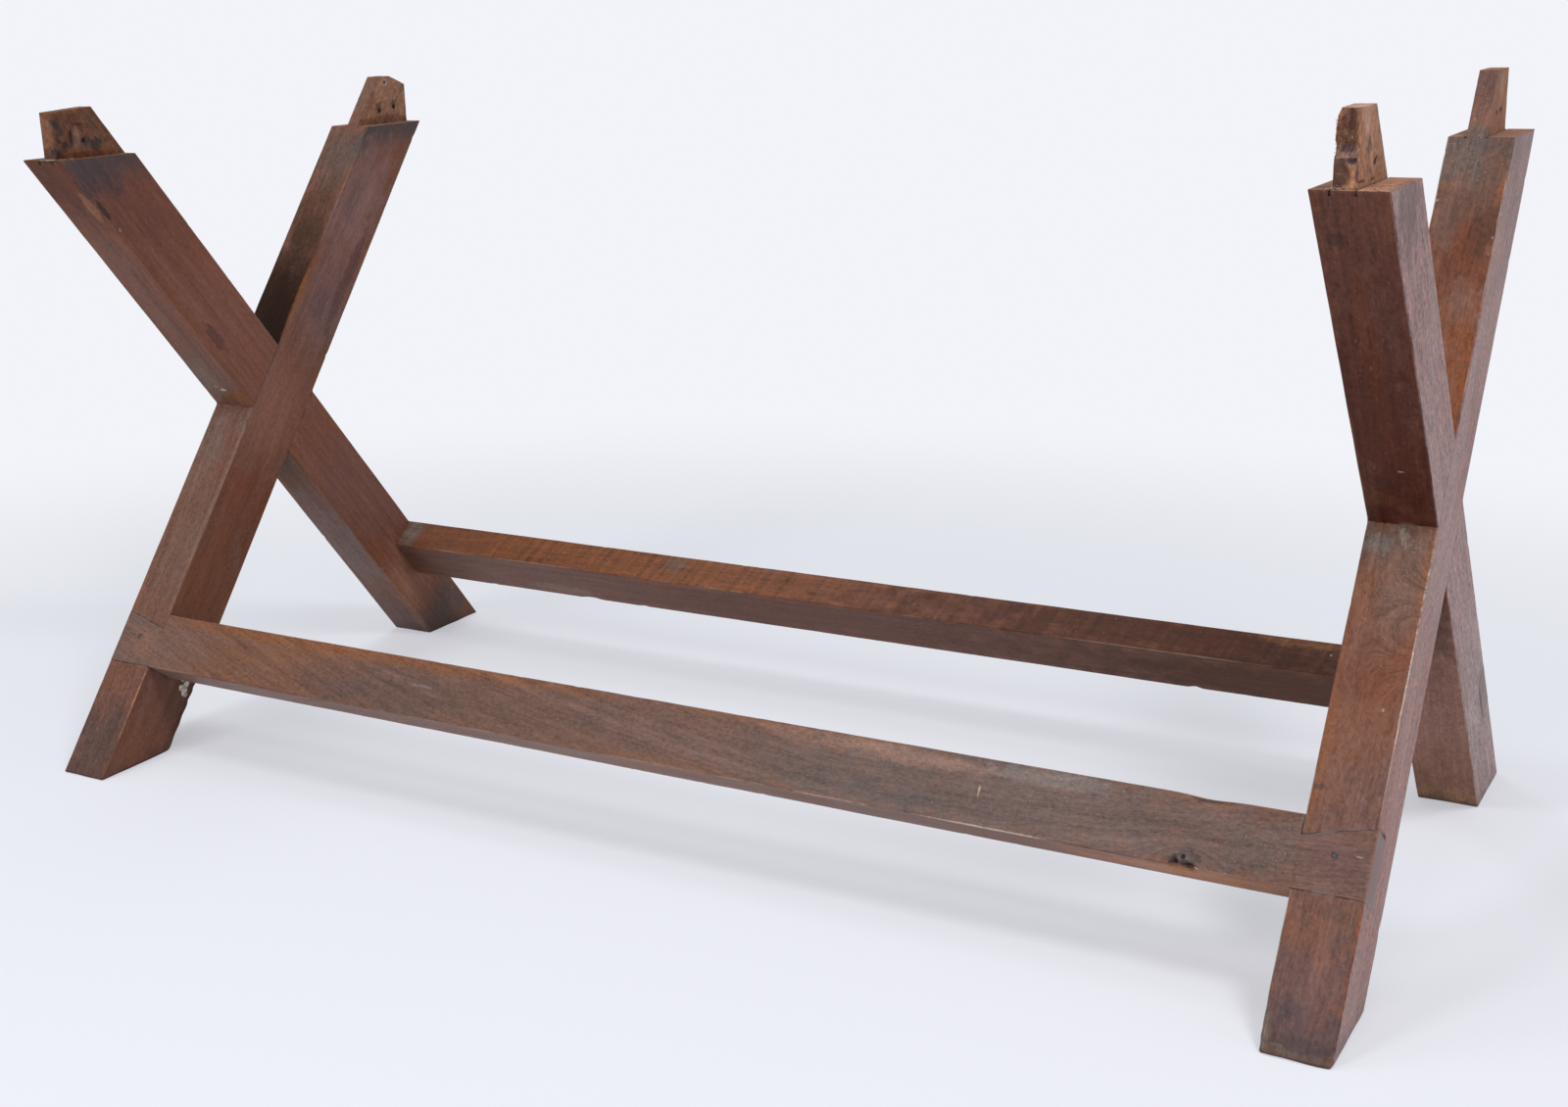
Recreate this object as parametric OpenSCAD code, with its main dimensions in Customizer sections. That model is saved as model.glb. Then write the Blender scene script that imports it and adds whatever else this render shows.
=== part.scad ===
// Sawbuck table base: two crossed-leg frames joined by two low rails.
// The legs of each frame are half-lapped where they cross. The rails end in half-dovetail
// tongues let into the outer faces of the legs and nailed. A tenon stands on each leg for the top.
// X runs along the rails, the front is at -Y, and Z is up from the floor.

/* [Frames] */
// Length over the outer sides of the two frames
base_length = 1464; // [900:1:2400]
// Height of the shoulders that carry the top
shoulder_h = 700; // [500:1:900]
// Distance between the front and rear toes of a frame
foot_spread = 706; // [560:1:900]
// Lean of each leg from upright, in degrees
lean = 38.2; // [30:0.1:45]

/* [Legs] */
// Size of a leg along the table
leg_thick = 62; // [45:1:90]
// Size of a leg across its slope
leg_width = 84; // [60:1:110]
// Easing worn along the long edges
edge_ease = 1; // [0.5:0.1:3]
// Worn off each pointed toe and shoulder tip
tip_wear = 2; // [0:0.5:6]

/* [Tenons] */
// Height of a tenon above its shoulder
tenon_h = 60; // [30:1:80]
// Height of the front left tenon, which was sawn shorter
short_tenon_h = 54; // [30:1:80]
// Thickness of a tenon along the table
tenon_thick = 18; // [12:0.5:22]
// Shoulder on the side towards the middle of the table
tenon_inner_shoulder = 17; // [10:0.5:20]
// Setback of a tenon from the pointed tip of the shoulder
tenon_tip_setback = 8; // [2:0.5:20]
// Width of the saw kerfs beside each tenon
kerf_w = 2; // [1:0.5:3]
// Depth that the kerfs run below the shoulder
kerf_depth = 5; // [2:0.5:10]
// Drop of the slanted top on the front left tenon
slant_drop = 3; // [0:0.5:10]
// Drop of the corner trimmed off the rear left tenon
trim_drop = 12; // [0:0.5:30]
// Run of the corner trimmed off the rear left tenon
trim_run = 30; // [2:0.5:40]

/* [Rails] */
// Width of a rail up the slope of the legs
rail_width = 66; // [50:1:90]
// Thickness of a rail
rail_thick = 41; // [30:1:50]
// Height of the front rail's lower outer edge
front_rail_h = 112; // [60:1:160]
// Height of the rear rail's lower outer edge
rear_rail_h = 118; // [60:1:160]
// Width of a tongue at its neck, against the leg
tongue_neck = 48; // [30:1:50]
// Width of a tongue at its end
tongue_end = 63; // [52:1:66]
// Depth of the front rail's tongues in the legs
front_lap_depth = 35; // [15:1:38]
// Depth of the rear rail's tongues in the legs
rear_lap_depth = 25; // [15:1:38]

/* [Nails] */
// Radius of a nail's head
nail_head_r = 3.5; // [2.5:0.1:5]
// Thickness of a nail's head
nail_head_thick = 1.2; // [0.8:0.1:2]
// Depth of a head below the wood
nail_sink = 0.6; // [0.2:0.1:2]
// Radius of a nail's shank
nail_r = 1.8; // [1.2:0.1:2.2]
// Length of a nail from its head to its point
nail_len = 60; // [45:1:75]
// Length of a nail's point
nail_point = 5; // [2:1:10]
// Height of the nails above the rail's lower edge, up the slope
nail_rise = 34; // [20:1:40]

/* [Hidden] */
$fn = 32;

half_thick = leg_thick / 2;
// Middle of a frame from the middle of the table
frame_x = base_length / 2 - half_thick;
// Inner side of a frame from the middle of the table
inner_x = frame_x - half_thick;
// Toe of a leg, before wear
toe_y = foot_spread / 2;
// Level width of a leg's foot or shoulder
cut_width = leg_width / cos(lean);
// Inner edge and pointed tip of a shoulder
shoulder_in_y = shoulder_h * tan(lean) - toe_y;
shoulder_tip_y = shoulder_in_y + cut_width;
// Sloping length that reaches past both level cuts of a leg
blank_len = shoulder_h / cos(lean) + 2 * leg_width;
// Sides of a tenon, measured outward from the middle of its leg
tenon_x0 = tenon_inner_shoulder - half_thick;
tenon_x1 = tenon_x0 + tenon_thick;
// Reach of a cut or a root past the surface that it starts from
over = 1;
root = 10;

wood_red = [0.40, 0.23, 0.17];
wood_brown = [0.43, 0.27, 0.19];
iron_dark = [0.20, 0.19, 0.19];

// ---- Placing ----

// Drawn on a leg's outer face: X across the leg, Y into the wood, Z up the slope from the toe
module on_slope() {
    translate([0, -toe_y, 0]) rotate([-lean, 0, 0]) children();
}

// The other leg of the pair, with its foot at the rear
module rear_handed() {
    mirror([0, 1, 0]) children();
}

// Right frame, with X outward from the middle of its legs
module at_right() {
    translate([frame_x, 0, 0]) children();
}

// Left frame, with X outward from the middle of its legs
module at_left() {
    mirror([1, 0, 0]) at_right() children();
}

// ---- Shapes ----

// Rectangle with its four corners cut by the easing
module eased_section(width, depth) {
    polygon([
        [edge_ease, 0], [width - edge_ease, 0],
        [width, edge_ease], [width, depth - edge_ease],
        [width - edge_ease, depth], [edge_ease, depth],
        [0, depth - edge_ease], [0, edge_ease]
    ]);
}

// Sloping bar of a leg, longer than the leg at both ends, and wider on its inward side if asked
module leg_bar(inward = 0) {
    on_slope() translate([-half_thick - inward, 0, -leg_width])
        linear_extrude(blank_len) eased_section(leg_thick + inward, leg_width);
}

// Square-edged bar in a leg's place, over part of its thickness
module square_bar(x0, x1) {
    on_slope() translate([x0, 0, -leg_width]) cube([x1 - x0, leg_width, blank_len]);
}

// Where the legs cross, their edges stay square, so that both faces of the crossing close flush
module crossing_block() {
    intersection() {
        square_bar(-half_thick, half_thick);
        rear_handed() square_bar(-half_thick, half_thick);
    }
}

// One half of the crossing: the path of the other leg on one side of the middle
module crossing_cut(outward) {
    x0 = outward ? 0 : -half_thick - over;
    rear_handed() square_bar(x0, x0 + half_thick + over);
}

// Half dovetail on a leg's outer face: straight below, flared above, widest at the outer end.
// It reaches a little past both sides of the leg.
module tongue_shape(lap_depth) {
    flare = (tongue_end - tongue_neck) / leg_thick;
    past = half_thick + over;
    translate([0, lap_depth, 0]) rotate([90, 0, 0]) linear_extrude(lap_depth) polygon([
        [-past, 0], [past, 0], [past, tongue_end + flare * over],
        [-half_thick, tongue_neck], [-past, tongue_neck]
    ]);
}

// Saw kerfs run past the shoulder on both sides of a tenon
module tenon_kerfs() {
    for (kerf_x = [tenon_x0 - kerf_w, tenon_x1])
        translate([kerf_x, shoulder_in_y - over, shoulder_h - kerf_depth])
            cube([kerf_w, cut_width + 2 * over, kerf_depth + over]);
}

// Tenon in the plane of the frame: its inner edge carries on up the leg, its outer edge is upright
module tenon(height, drop, run) {
    outer_y = shoulder_tip_y - tenon_tip_setback;
    top_in_y = shoulder_in_y + height * tan(lean);
    root_in_y = shoulder_in_y - root * tan(lean);
    slant = min(run, outer_y - top_in_y);
    translate([tenon_x0, 0, shoulder_h]) rotate([90, 0, 90]) linear_extrude(tenon_thick) polygon([
        [root_in_y, -root], [outer_y - root * tan(lean), -root], [outer_y, 0],
        [outer_y, height - drop], [outer_y - slant, height], [top_in_y, height]
    ]);
}

// Nail standing in a leg's outer face, or the hole that it fills
module nail() {
    seat = nail_sink + nail_head_thick;
    translate([0, nail_sink, 0]) rotate([-90, 0, 0]) cylinder(r = nail_head_r, h = nail_head_thick);
    translate([0, seat - over, 0]) rotate([-90, 0, 0])
        cylinder(r = nail_r, h = nail_len - nail_point + over);
    translate([0, seat + nail_len - nail_point, 0]) rotate([-90, 0, 0])
        cylinder(r1 = nail_r, r2 = nail_r / 4, h = nail_point);
}

module nail_hole() {
    rotate([-90, 0, 0]) translate([0, 0, -over])
        cylinder(r = nail_head_r, h = nail_sink + nail_head_thick + over);
    rotate([-90, 0, 0]) cylinder(r = nail_r, h = nail_sink + nail_head_thick + nail_len);
}

// ---- Pieces ----

// A leg with its foot at the front, and X outward from its middle.
// It runs whole past the crossing on one side, and is cut half away on the other.
module leg(whole_outside, lap_depth, rail_h, height = tenon_h, drop = 0, run = root) {
    difference() {
        union() {
            intersection() {
                leg_bar();
                translate([-leg_thick, tip_wear - toe_y, 0])
                    cube([2 * leg_thick, toe_y + shoulder_tip_y - 2 * tip_wear, shoulder_h]);
            }
            crossing_block();
            tenon(height, drop, run);
        }
        tenon_kerfs();
        crossing_cut(outward = !whole_outside);
        on_slope() translate([0, 0, rail_h / cos(lean)]) {
            translate([0, -over, 0]) tongue_shape(lap_depth + over);
            translate([0, 0, nail_rise]) nail_hole();
        }
    }
}

// A rail across both frames, with its outer face flush with the legs at the front
module rail(lap_depth, rail_h) {
    foot_s = rail_h / cos(lean);
    difference() {
        union() {
            on_slope() translate([-inner_x, 0, foot_s]) rotate([90, 0, 90])
                linear_extrude(2 * inner_x) eased_section(rail_thick, rail_width);
            for (side = [0, 1]) mirror([side, 0, 0]) at_right() intersection() {
                on_slope() translate([0, 0, foot_s]) tongue_shape(lap_depth);
                leg_bar(inward = over);
            }
        }
        for (side = [0, 1]) mirror([side, 0, 0]) at_right()
            on_slope() translate([0, 0, foot_s + nail_rise]) nail_hole();
    }
}

module left_front_leg() {
    color(wood_red) at_left() leg(false, front_lap_depth, front_rail_h, tenon_h, trim_drop, trim_run);
}

module left_rear_leg() {
    color(wood_red) at_left() rear_handed()
        leg(true, rear_lap_depth, rear_rail_h, short_tenon_h, slant_drop, leg_width);
}

module right_front_leg() {
    color(wood_red) at_right() leg(true, front_lap_depth, front_rail_h);
}

module right_rear_leg() {
    color(wood_red) at_right() rear_handed() leg(false, rear_lap_depth, rear_rail_h);
}

module front_rail() {
    color(wood_brown) rail(front_lap_depth, front_rail_h);
}

module rear_rail() {
    color(wood_brown) rear_handed() rail(rear_lap_depth, rear_rail_h);
}

module rail_nails() {
    color(iron_dark) for (side = [0, 1]) mirror([side, 0, 0]) at_right() {
        on_slope() translate([0, 0, front_rail_h / cos(lean) + nail_rise]) nail();
        rear_handed() on_slope() translate([0, 0, rear_rail_h / cos(lean) + nail_rise]) nail();
    }
}

left_front_leg();
left_rear_leg();
right_front_leg();
right_rear_leg();
front_rail();
rear_rail();
rail_nails();
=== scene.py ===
import math
import random

import bmesh
import bpy
import numpy as np
from mathutils import Matrix, Vector, noise


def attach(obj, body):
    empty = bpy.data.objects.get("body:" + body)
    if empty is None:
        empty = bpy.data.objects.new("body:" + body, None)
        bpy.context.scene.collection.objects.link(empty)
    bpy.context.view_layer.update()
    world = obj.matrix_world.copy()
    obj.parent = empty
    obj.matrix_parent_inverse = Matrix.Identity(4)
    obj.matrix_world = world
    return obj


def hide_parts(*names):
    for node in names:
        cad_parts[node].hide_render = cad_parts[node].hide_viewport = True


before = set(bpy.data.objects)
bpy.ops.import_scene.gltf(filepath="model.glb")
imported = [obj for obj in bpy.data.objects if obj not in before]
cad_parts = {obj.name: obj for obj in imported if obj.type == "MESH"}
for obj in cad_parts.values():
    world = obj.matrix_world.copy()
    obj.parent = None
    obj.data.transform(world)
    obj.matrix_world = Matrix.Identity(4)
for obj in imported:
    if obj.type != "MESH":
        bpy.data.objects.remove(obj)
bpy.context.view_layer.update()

# ---- Right front leg ----
# The outer leg of the right frame, with its foot at the front and its tenon at the rear. It is one length of
# planed hardwood, half-lapped over the leg that crosses it and notched for the front rail.

MM = 0.001
LEAN = math.radians(38.2)
LEAN_SIN = math.sin(LEAN)
LEAN_COS = math.cos(LEAN)
TOE_Y = 0.353
LEG_THICK = 0.062
LEG_WIDTH = 0.084
FRAME_X = 0.701
INNER_FACE_X = FRAME_X - LEG_THICK / 2
OUTER_FACE_X = FRAME_X + LEG_THICK / 2
SHOULDER_Z = 0.700
FRONT_RAIL_Z = 0.112
REAR_RAIL_Z = 0.118
RAIL_WIDTH = 0.066
RAIL_THICK = 0.041
TONGUE_NECK = 0.048
TONGUE_END = 0.063
TONGUE_FLARE = (TONGUE_END - TONGUE_NECK) / LEG_THICK
FRONT_LAP = 0.035
REAR_LAP = 0.025


class Timber:
    """One squared piece of wood and its own directions: across it, into its depth, and along its grain."""

    def __init__(self, node, handed, side):
        """handed is 1 with the foot at the front, side is 1 in the right frame, and a rail has side 0."""
        self.node = node
        self.handed = handed
        self.side = side
        self.rail_s = (FRONT_RAIL_Z if handed > 0 else REAR_RAIL_Z) / LEAN_COS
        self.lap = FRONT_LAP if handed > 0 else REAR_LAP
        self.toe = Vector((0, -handed * TOE_Y, 0))
        self.inward = Vector((0, handed * LEAN_COS, -LEAN_SIN))
        self.upward = Vector((0, handed * LEAN_SIN, LEAN_COS))
        self.rail_edge = self.toe + self.upward * self.rail_s

    def slope_place(self, points):
        """Distances outward from the middle of the frame, into the depth, and up the slope."""
        offset = points - np.array(self.toe)
        out = self.side * points[:, 0] - FRAME_X if self.side else points[:, 0]
        return np.stack([out, offset @ np.array(self.inward), offset @ np.array(self.upward)], axis=1)


STEP_DRIFT = 0.5


def even_steps(low, high, step, name):
    """Distances from low to high, about a step apart, each a little off the even place."""
    count = int((high - low) / step)
    drifts = [STEP_DRIFT * noise.noise(Vector((i * 0.77, len(name), 0.5))) for i in range(count)]
    return [low + (high - low) * (i + 0.5 + drift) / count for i, drift in enumerate(drifts)]


def both_sides(low, high, offsets, middle):
    """Cut places that crowd towards the two edges of a face, with even ones between them."""
    near = [low + offset for offset in offsets] + [high - offset for offset in offsets]
    span = high - low - 2 * offsets[-1]
    return near + [low + offsets[-1] + span * i / (middle + 1) for i in range(1, middle + 1)]


CUT_TOLERANCE = 2e-6
WELD_GAP = 2e-5
FLAT_WITHIN = math.radians(0.6)


def cut(bm, point, direction, distances, wanted=None):
    """Scores the skin with planes square to direction, only on the wanted faces if a test is given."""
    for distance in distances:
        faces = [face for face in bm.faces if wanted is None or wanted(face)]
        edges = list({edge for face in faces for edge in face.edges})
        corners = list({corner for face in faces for corner in face.verts})
        bmesh.ops.bisect_plane(
            bm, geom=corners + edges + faces, dist=CUT_TOLERANCE,
            plane_co=point + direction * distance, plane_no=direction,
        )


def bare_mesh(timber):
    """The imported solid's skin with its flat faces whole."""
    bm = bmesh.new()
    bm.from_mesh(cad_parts[timber.node].data)
    bmesh.ops.remove_doubles(bm, verts=bm.verts[:], dist=WELD_GAP)
    bmesh.ops.dissolve_limit(bm, angle_limit=FLAT_WITHIN, verts=bm.verts[:], edges=bm.edges[:])
    return bm


FACE_LOSS = 0.00030
RUB_MEAN = 0.00010
RUB_SWING = 0.00022
DENT_DEPTH = 0.0030


def planing(point):
    """Depth lost from a planed face at a point: long waves with fainter ripples on them."""
    wave = noise.noise(point * 7.3) * 0.6 + noise.noise(point * 23.0 + Vector((5, 1, 2))) * 0.25
    return FACE_LOSS * min(1.0, max(0.0, 0.5 + 0.6 * (wave + 0.15 * noise.noise(point * 95.0))))


def bruise(point):
    """Depth worn from an arris at a point: a light, uneven rub with a few deeper dents."""
    rub = RUB_MEAN + RUB_SWING * noise.noise(point * 31.0 + Vector((3, 7, 1)))
    dent = max(0.0, noise.noise(point * 82.0 + Vector((9, 2, 4))) - 0.45) * DENT_DEPTH
    return max(0.0, rub) + dent


FACE_SKIN = 0.0013
RUB_REACH = 0.0026
CROSSING_FADE = 0.003
RAIL_FADE = 0.004
ABOVE_SHOULDER = SHOULDER_Z + 1e-4
ON_FLOOR = 1e-5


def wear(timber, bm, size_a, size_b):
    """Moves a timber's skin inward: planing waves on its faces, rubbed and dented arrises."""
    points = np.array([corner.co for corner in bm.verts])
    place = timber.slope_place(points)
    if timber.side:
        first = place[:, 0] + size_a / 2
        axis_a = np.array((float(timber.side), 0.0, 0.0))
        crossed = (TOE_Y - timber.handed * points[:, 1]) * LEAN_COS - points[:, 2] * LEAN_SIN
        open_arris = np.clip(np.maximum(-crossed, crossed - LEG_WIDTH) / CROSSING_FADE, 0, 1)
    else:
        first = place[:, 2] - timber.rail_s
        axis_a = np.array(timber.upward)
        open_arris = np.clip((INNER_FACE_X - np.abs(points[:, 0])) / RAIL_FADE, 0, 1)
    second = place[:, 1]
    axis_b = np.array(timber.inward)
    side_a = np.where(first < FACE_SKIN, 1.0, np.where(first > size_a - FACE_SKIN, -1.0, 0.0))
    side_b = np.where(second < FACE_SKIN, 1.0, np.where(second > size_b - FACE_SKIN, -1.0, 0.0))
    to_arris = np.minimum(first, size_a - first) + np.minimum(second, size_b - second)
    push_a = np.where(first < size_a / 2, 1.0, -1.0)
    push_b = np.where(second < size_b / 2, 1.0, -1.0)
    for i, corner in enumerate(bm.verts):
        height = points[i][2]
        if height > ABOVE_SHOULDER:
            continue
        spot = Vector(points[i])
        loss = planing(spot)
        worn = 0.0
        if side_a[i] or side_b[i]:
            worn = bruise(spot) * math.exp(-to_arris[i] / RUB_REACH) * open_arris[i]
        move = axis_a * (loss * side_a[i] + worn * push_a[i]) + axis_b * (loss * side_b[i] + worn * push_b[i])
        corner.co = Vector(points[i] + move)
        corner.co.z = max(corner.co.z, 0.0) if height > ON_FLOOR else 0.0
    return place


def round_foot(timber, bm, radius):
    """Rubs round the edge where a leg meets the floor."""
    half_y = LEG_WIDTH / LEAN_COS / 2
    middle_y = timber.handed * (half_y - TOE_Y)
    for corner in bm.verts:
        height = corner.co.z
        uneven = radius * (0.8 + 0.7 * noise.noise(corner.co * 34.0))
        if height >= uneven:
            continue
        inset = uneven - math.sqrt(max(0.0, uneven * uneven - (uneven - height) ** 2))
        lean_y = timber.handed * height * math.tan(LEAN)
        corner.co.x += (timber.side * FRAME_X - corner.co.x) * inset / (LEG_THICK / 2)
        corner.co.y += (middle_y + lean_y - corner.co.y) * inset / half_y


BY_THE_ARRIS = 28


def scar(timber, bm, scars):
    """Knocks wood off a leg. Each scar is (centre, reach, depth) in mm: across, into and up the leg."""
    corners = list(bm.verts)
    for centre, reach, depth in scars:
        place = timber.slope_place(np.array([corner.co for corner in corners]))
        off = (place - np.array(centre) * MM) / (np.array(reach) * MM)
        near = np.exp(-np.sum(off * off, axis=1))
        across = -math.copysign(1.0, centre[0]) if abs(centre[0]) > BY_THE_ARRIS else 0.0
        inward = 1.0 if centre[1] * MM < LEG_WIDTH / 2 else -1.0
        move = (Vector((timber.side * across, 0, 0)) + timber.inward * inward).normalized()
        for i in np.nonzero(near > 0.02)[0]:
            corner = corners[i]
            ragged = 0.8 + 0.5 * noise.noise(corner.co * 210.0)
            corner.co += move * depth * MM * float(near[i]) * max(0.0, ragged)
            corner.co.z = max(corner.co.z, 0.0)


SAWN_FROM_Z = SHOULDER_Z + 0.0008


def sawn_tenon(bm, saw_depth, dents, torn):
    """Leaves saw marks on a tenon. A dent is (centre, radius, depth) in mm. torn moves the broken skin."""
    bm.normal_update()
    moves = []
    for corner in bm.verts:
        spot = corner.co
        if spot.z < SAWN_FROM_Z:
            continue
        ribs = noise.noise(Vector((spot.x * 420, spot.y * 420, spot.z * 60)))
        lifted = noise.noise(Vector((spot.x * 150, spot.y * 150, spot.z * 110)) + Vector((4, 4, 4)))
        loss = saw_depth * max(0.0, 0.5 + 0.55 * ribs + 0.6 * lifted)
        for centre, radius, sunk in dents:
            loss += sunk * MM * math.exp(-((spot - Vector(centre) * MM).length / (radius * MM)) ** 2)
        moves.append((corner, (torn(spot) if torn else Vector()) - corner.normal * loss))
    for corner, move in moves:
        corner.co += move


SHARP_FROM = math.radians(38)


def finish_mesh(timber, bm, places):
    """Turns the worked skin into an object whose points know their place in the timber."""
    mesh = bpy.data.meshes.new(timber.node + "_worked")
    bm.to_mesh(mesh)
    bm.free()
    attribute = mesh.attributes.new("place", "FLOAT_VECTOR", "POINT")
    attribute.data.foreach_set("vector", np.asarray(places, dtype=np.float32).ravel())
    mesh.shade_smooth()
    mesh.set_sharp_from_angle(angle=SHARP_FROM)
    piece = bpy.data.objects.new(timber.node + "_timber", mesh)
    bpy.context.collection.objects.link(piece)
    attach(piece, "root")
    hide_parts(timber.node)
    return piece


def above_shoulder(face):
    return all(corner.co.z > ABOVE_SHOULDER for corner in face.verts)


FACE_SLICES = (0.0005, 0.0018, 0.0034, 0.006, 0.011)
FOOT_SLICES = (0.0004, 0.0010, 0.0018, 0.0030, 0.0050)
SHOULDER_SLICES = (-0.0006, -0.0016, -0.0035)
LEG_START = 0.004
LEG_REACH = 1.0
LEG_STEP = 0.0052
TENON_RISE = [0.0016 * i for i in range(1, 38)]
TENON_ACROSS = [-0.0136 + 0.0013 * i for i in range(14)]
TENON_DEPTH = [0.215 + 0.0018 * i for i in range(46)]


def leg_piece(timber, foot_radius, saw_depth, dents=(), torn=None, scars=()):
    """A leg in its own skin: scored fine enough to carry its wear, worn, scarred and sawn."""
    bm = bare_mesh(timber)
    up = Vector((0, 0, 1))
    out = Vector((timber.side, 0, 0))
    shoulder = Vector((0, 0, SHOULDER_Z))
    cut(bm, shoulder, up, TENON_RISE, above_shoulder)
    cut(bm, out * FRAME_X, out, TENON_ACROSS, above_shoulder)
    cut(bm, Vector(), Vector((0, timber.handed, 0)), TENON_DEPTH, above_shoulder)
    cut(bm, timber.toe, timber.upward, even_steps(LEG_START, LEG_REACH, LEG_STEP, timber.node))
    cut(bm, Vector(), up, FOOT_SLICES)
    cut(bm, shoulder, up, SHOULDER_SLICES)
    cut(bm, timber.toe, timber.inward, both_sides(0, LEG_WIDTH, FACE_SLICES, 5))
    cut(bm, out * FRAME_X, out, both_sides(-LEG_THICK / 2, LEG_THICK / 2, FACE_SLICES, 3))
    places = wear(timber, bm, LEG_THICK, LEG_WIDTH)
    scar(timber, bm, scars)
    round_foot(timber, bm, foot_radius)
    sawn_tenon(bm, saw_depth, dents, torn)
    piece = finish_mesh(timber, bm, places)
    return piece


class Signal:
    """A number or vector that varies over a surface. Its arithmetic adds shader nodes."""

    def __init__(self, socket):
        self.socket = socket

    def add_node(self, kind, sockets, **settings):
        tree = self.socket.id_data
        made = tree.nodes.new("ShaderNode" + kind)
        for key, value in settings.items():
            setattr(made, key, value)
        for key, value in sockets.items():
            if isinstance(value, Signal):
                tree.links.new(value.socket, made.inputs[key])
            else:
                made.inputs[key].default_value = value
        return made

    def feed(self, shader, name):
        """Plugs this into a named input of a finish."""
        self.socket.id_data.links.new(self.socket, shader.inputs[name])

    def relief(self, shader, strength, depth):
        """Raises and sinks a finish by this height."""
        made = self.add_node("Bump", {"Height": self, "Strength": strength, "Distance": depth})
        Signal(made.outputs[0]).feed(shader, "Normal")

    def math(self, operation, *others):
        sockets = {i: value for i, value in enumerate((self,) + others)}
        return Signal(self.add_node("Math", sockets, operation=operation).outputs[0])

    def __add__(self, other):
        return self.math("ADD", other)

    def __sub__(self, other):
        return self.math("SUBTRACT", other)

    def __rsub__(self, other):
        return (self * -1.0) + other

    def __mul__(self, other):
        return self.math("MULTIPLY", other)

    def least(self, other):
        return self.math("MINIMUM", other)

    def most(self, other):
        return self.math("MAXIMUM", other)

    def size(self):
        return self.math("ABSOLUTE")

    def band(self, start, end):
        """0 at start, 1 at end, and smooth between them."""
        sockets = {"Value": self, 1: start, 2: end, 3: 0.0, 4: 1.0}
        return Signal(self.add_node("MapRange", sockets, interpolation_type="SMOOTHSTEP").outputs[0])

    def vector(self, operation, key, value):
        return Signal(self.add_node("VectorMath", {0: self, key: value}, operation=operation).outputs[0])

    def shift(self, other):
        return self.vector("ADD", 1, other)

    def scaled(self, factors):
        return self.vector("MULTIPLY", 1, factors)

    def dimmed(self, factor):
        """This colour made brighter or darker by a number."""
        return self.vector("SCALE", "Scale", factor)

    def length(self):
        return Signal(self.add_node("VectorMath", {0: self}, operation="LENGTH").outputs["Value"])

    def away(self, centre, reach):
        """Distance from a centre as a share of a reach along each direction, both given in mm."""
        return self.shift([-MM * c for c in centre]).scaled([1 / (MM * r) for r in reach]).length()

    def parts(self):
        return [Signal(output) for output in self.add_node("SeparateXYZ", {0: self}).outputs]

    def joined(self, second, third):
        return Signal(self.add_node("CombineXYZ", {0: self, 1: second, 2: third}).outputs[0])

    def noise(self, size, stretch=1.0, detail=2.0, roughness=0.5, seed=0.0, output="Fac"):
        """Clouds of a size in metres, drawn out along the grain."""
        spread = self.scaled((1 / size, 1 / size, 1 / (size * stretch))).shift((seed, -seed, 0.37 * seed))
        sockets = {"Vector": spread, "Scale": 1.0, "Detail": detail, "Roughness": roughness}
        return Signal(self.add_node("TexNoise", sockets, noise_dimensions="3D").outputs[output])

    def lines(self, size, detail, roughness, seed):
        """Bands of a size in metres, one after another as this number grows."""
        sockets = {"W": self * (1 / size) + seed, "Scale": 1.0, "Detail": detail, "Roughness": roughness}
        return Signal(self.add_node("TexNoise", sockets, noise_dimensions="1D").outputs["Fac"])

    def cells(self, size, stretch=1.0):
        """Scattered points about a size apart: how far the nearest is, and two random numbers of its own."""
        spread = self.scaled((1 / size, 1 / size, 1 / (size * stretch)))
        made = self.add_node("TexVoronoi", {"Vector": spread, "Scale": 1.0, "Randomness": 1.0})
        return [Signal(made.outputs["Distance"])] + Signal(made.outputs["Color"]).parts()[:2]

    def blend(self, below, above):
        """This number chooses between two colours."""
        below = below if isinstance(below, Signal) else (*below, 1.0)
        above = above if isinstance(above, Signal) else (*above, 1.0)
        sockets = {0: self, 6: below, 7: above}
        return Signal(self.add_node("Mix", sockets, data_type="RGBA").outputs[2])


def new_material(name):
    material = bpy.data.materials.new(name)
    material.use_nodes = True
    return material, material.node_tree.nodes["Principled BSDF"]


def object_place(material):
    """Where a point lies in the whole table."""
    return Signal(material.node_tree.nodes.new("ShaderNodeTexCoord").outputs["Object"])


WANDER_SIZE = 0.16
WANDER = (0.016, 0.016, 0.016)
RING_SPACING = 0.0065
FIBRE_SIZE = 0.0015
STREAK_SIZE = 0.0085
PORE_SIZE = 0.0008
GRIT_SIZE = 0.0036
MOTTLE_SIZE = 0.0050
CLOUD_SIZE = 0.018


def growth(place, seed, pith, tilt, bend, knots):
    """Distance from the pith. It is the same all along a growth line, so lines swell round each knot."""
    wander = place.noise(WANDER_SIZE, 3.0, 1.0, 0.5, seed, "Color").shift((-0.5, -0.5, -0.5))
    bent = place.shift(wander.scaled(WANDER))
    u, v, s = bent.parts()
    across = u - pith[0] - s * tilt - s * s * bend
    depth = v - pith[1]
    reach = (across * across + depth * depth).math("SQRT")
    for centre, radius, swell in knots:
        off = bent.away(centre, radius)
        reach = reach + (off.math("POWER", 2.0) * -1.0).math("EXPONENT") * swell
    return reach, reach.joined(v * 0.5, s)


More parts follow.
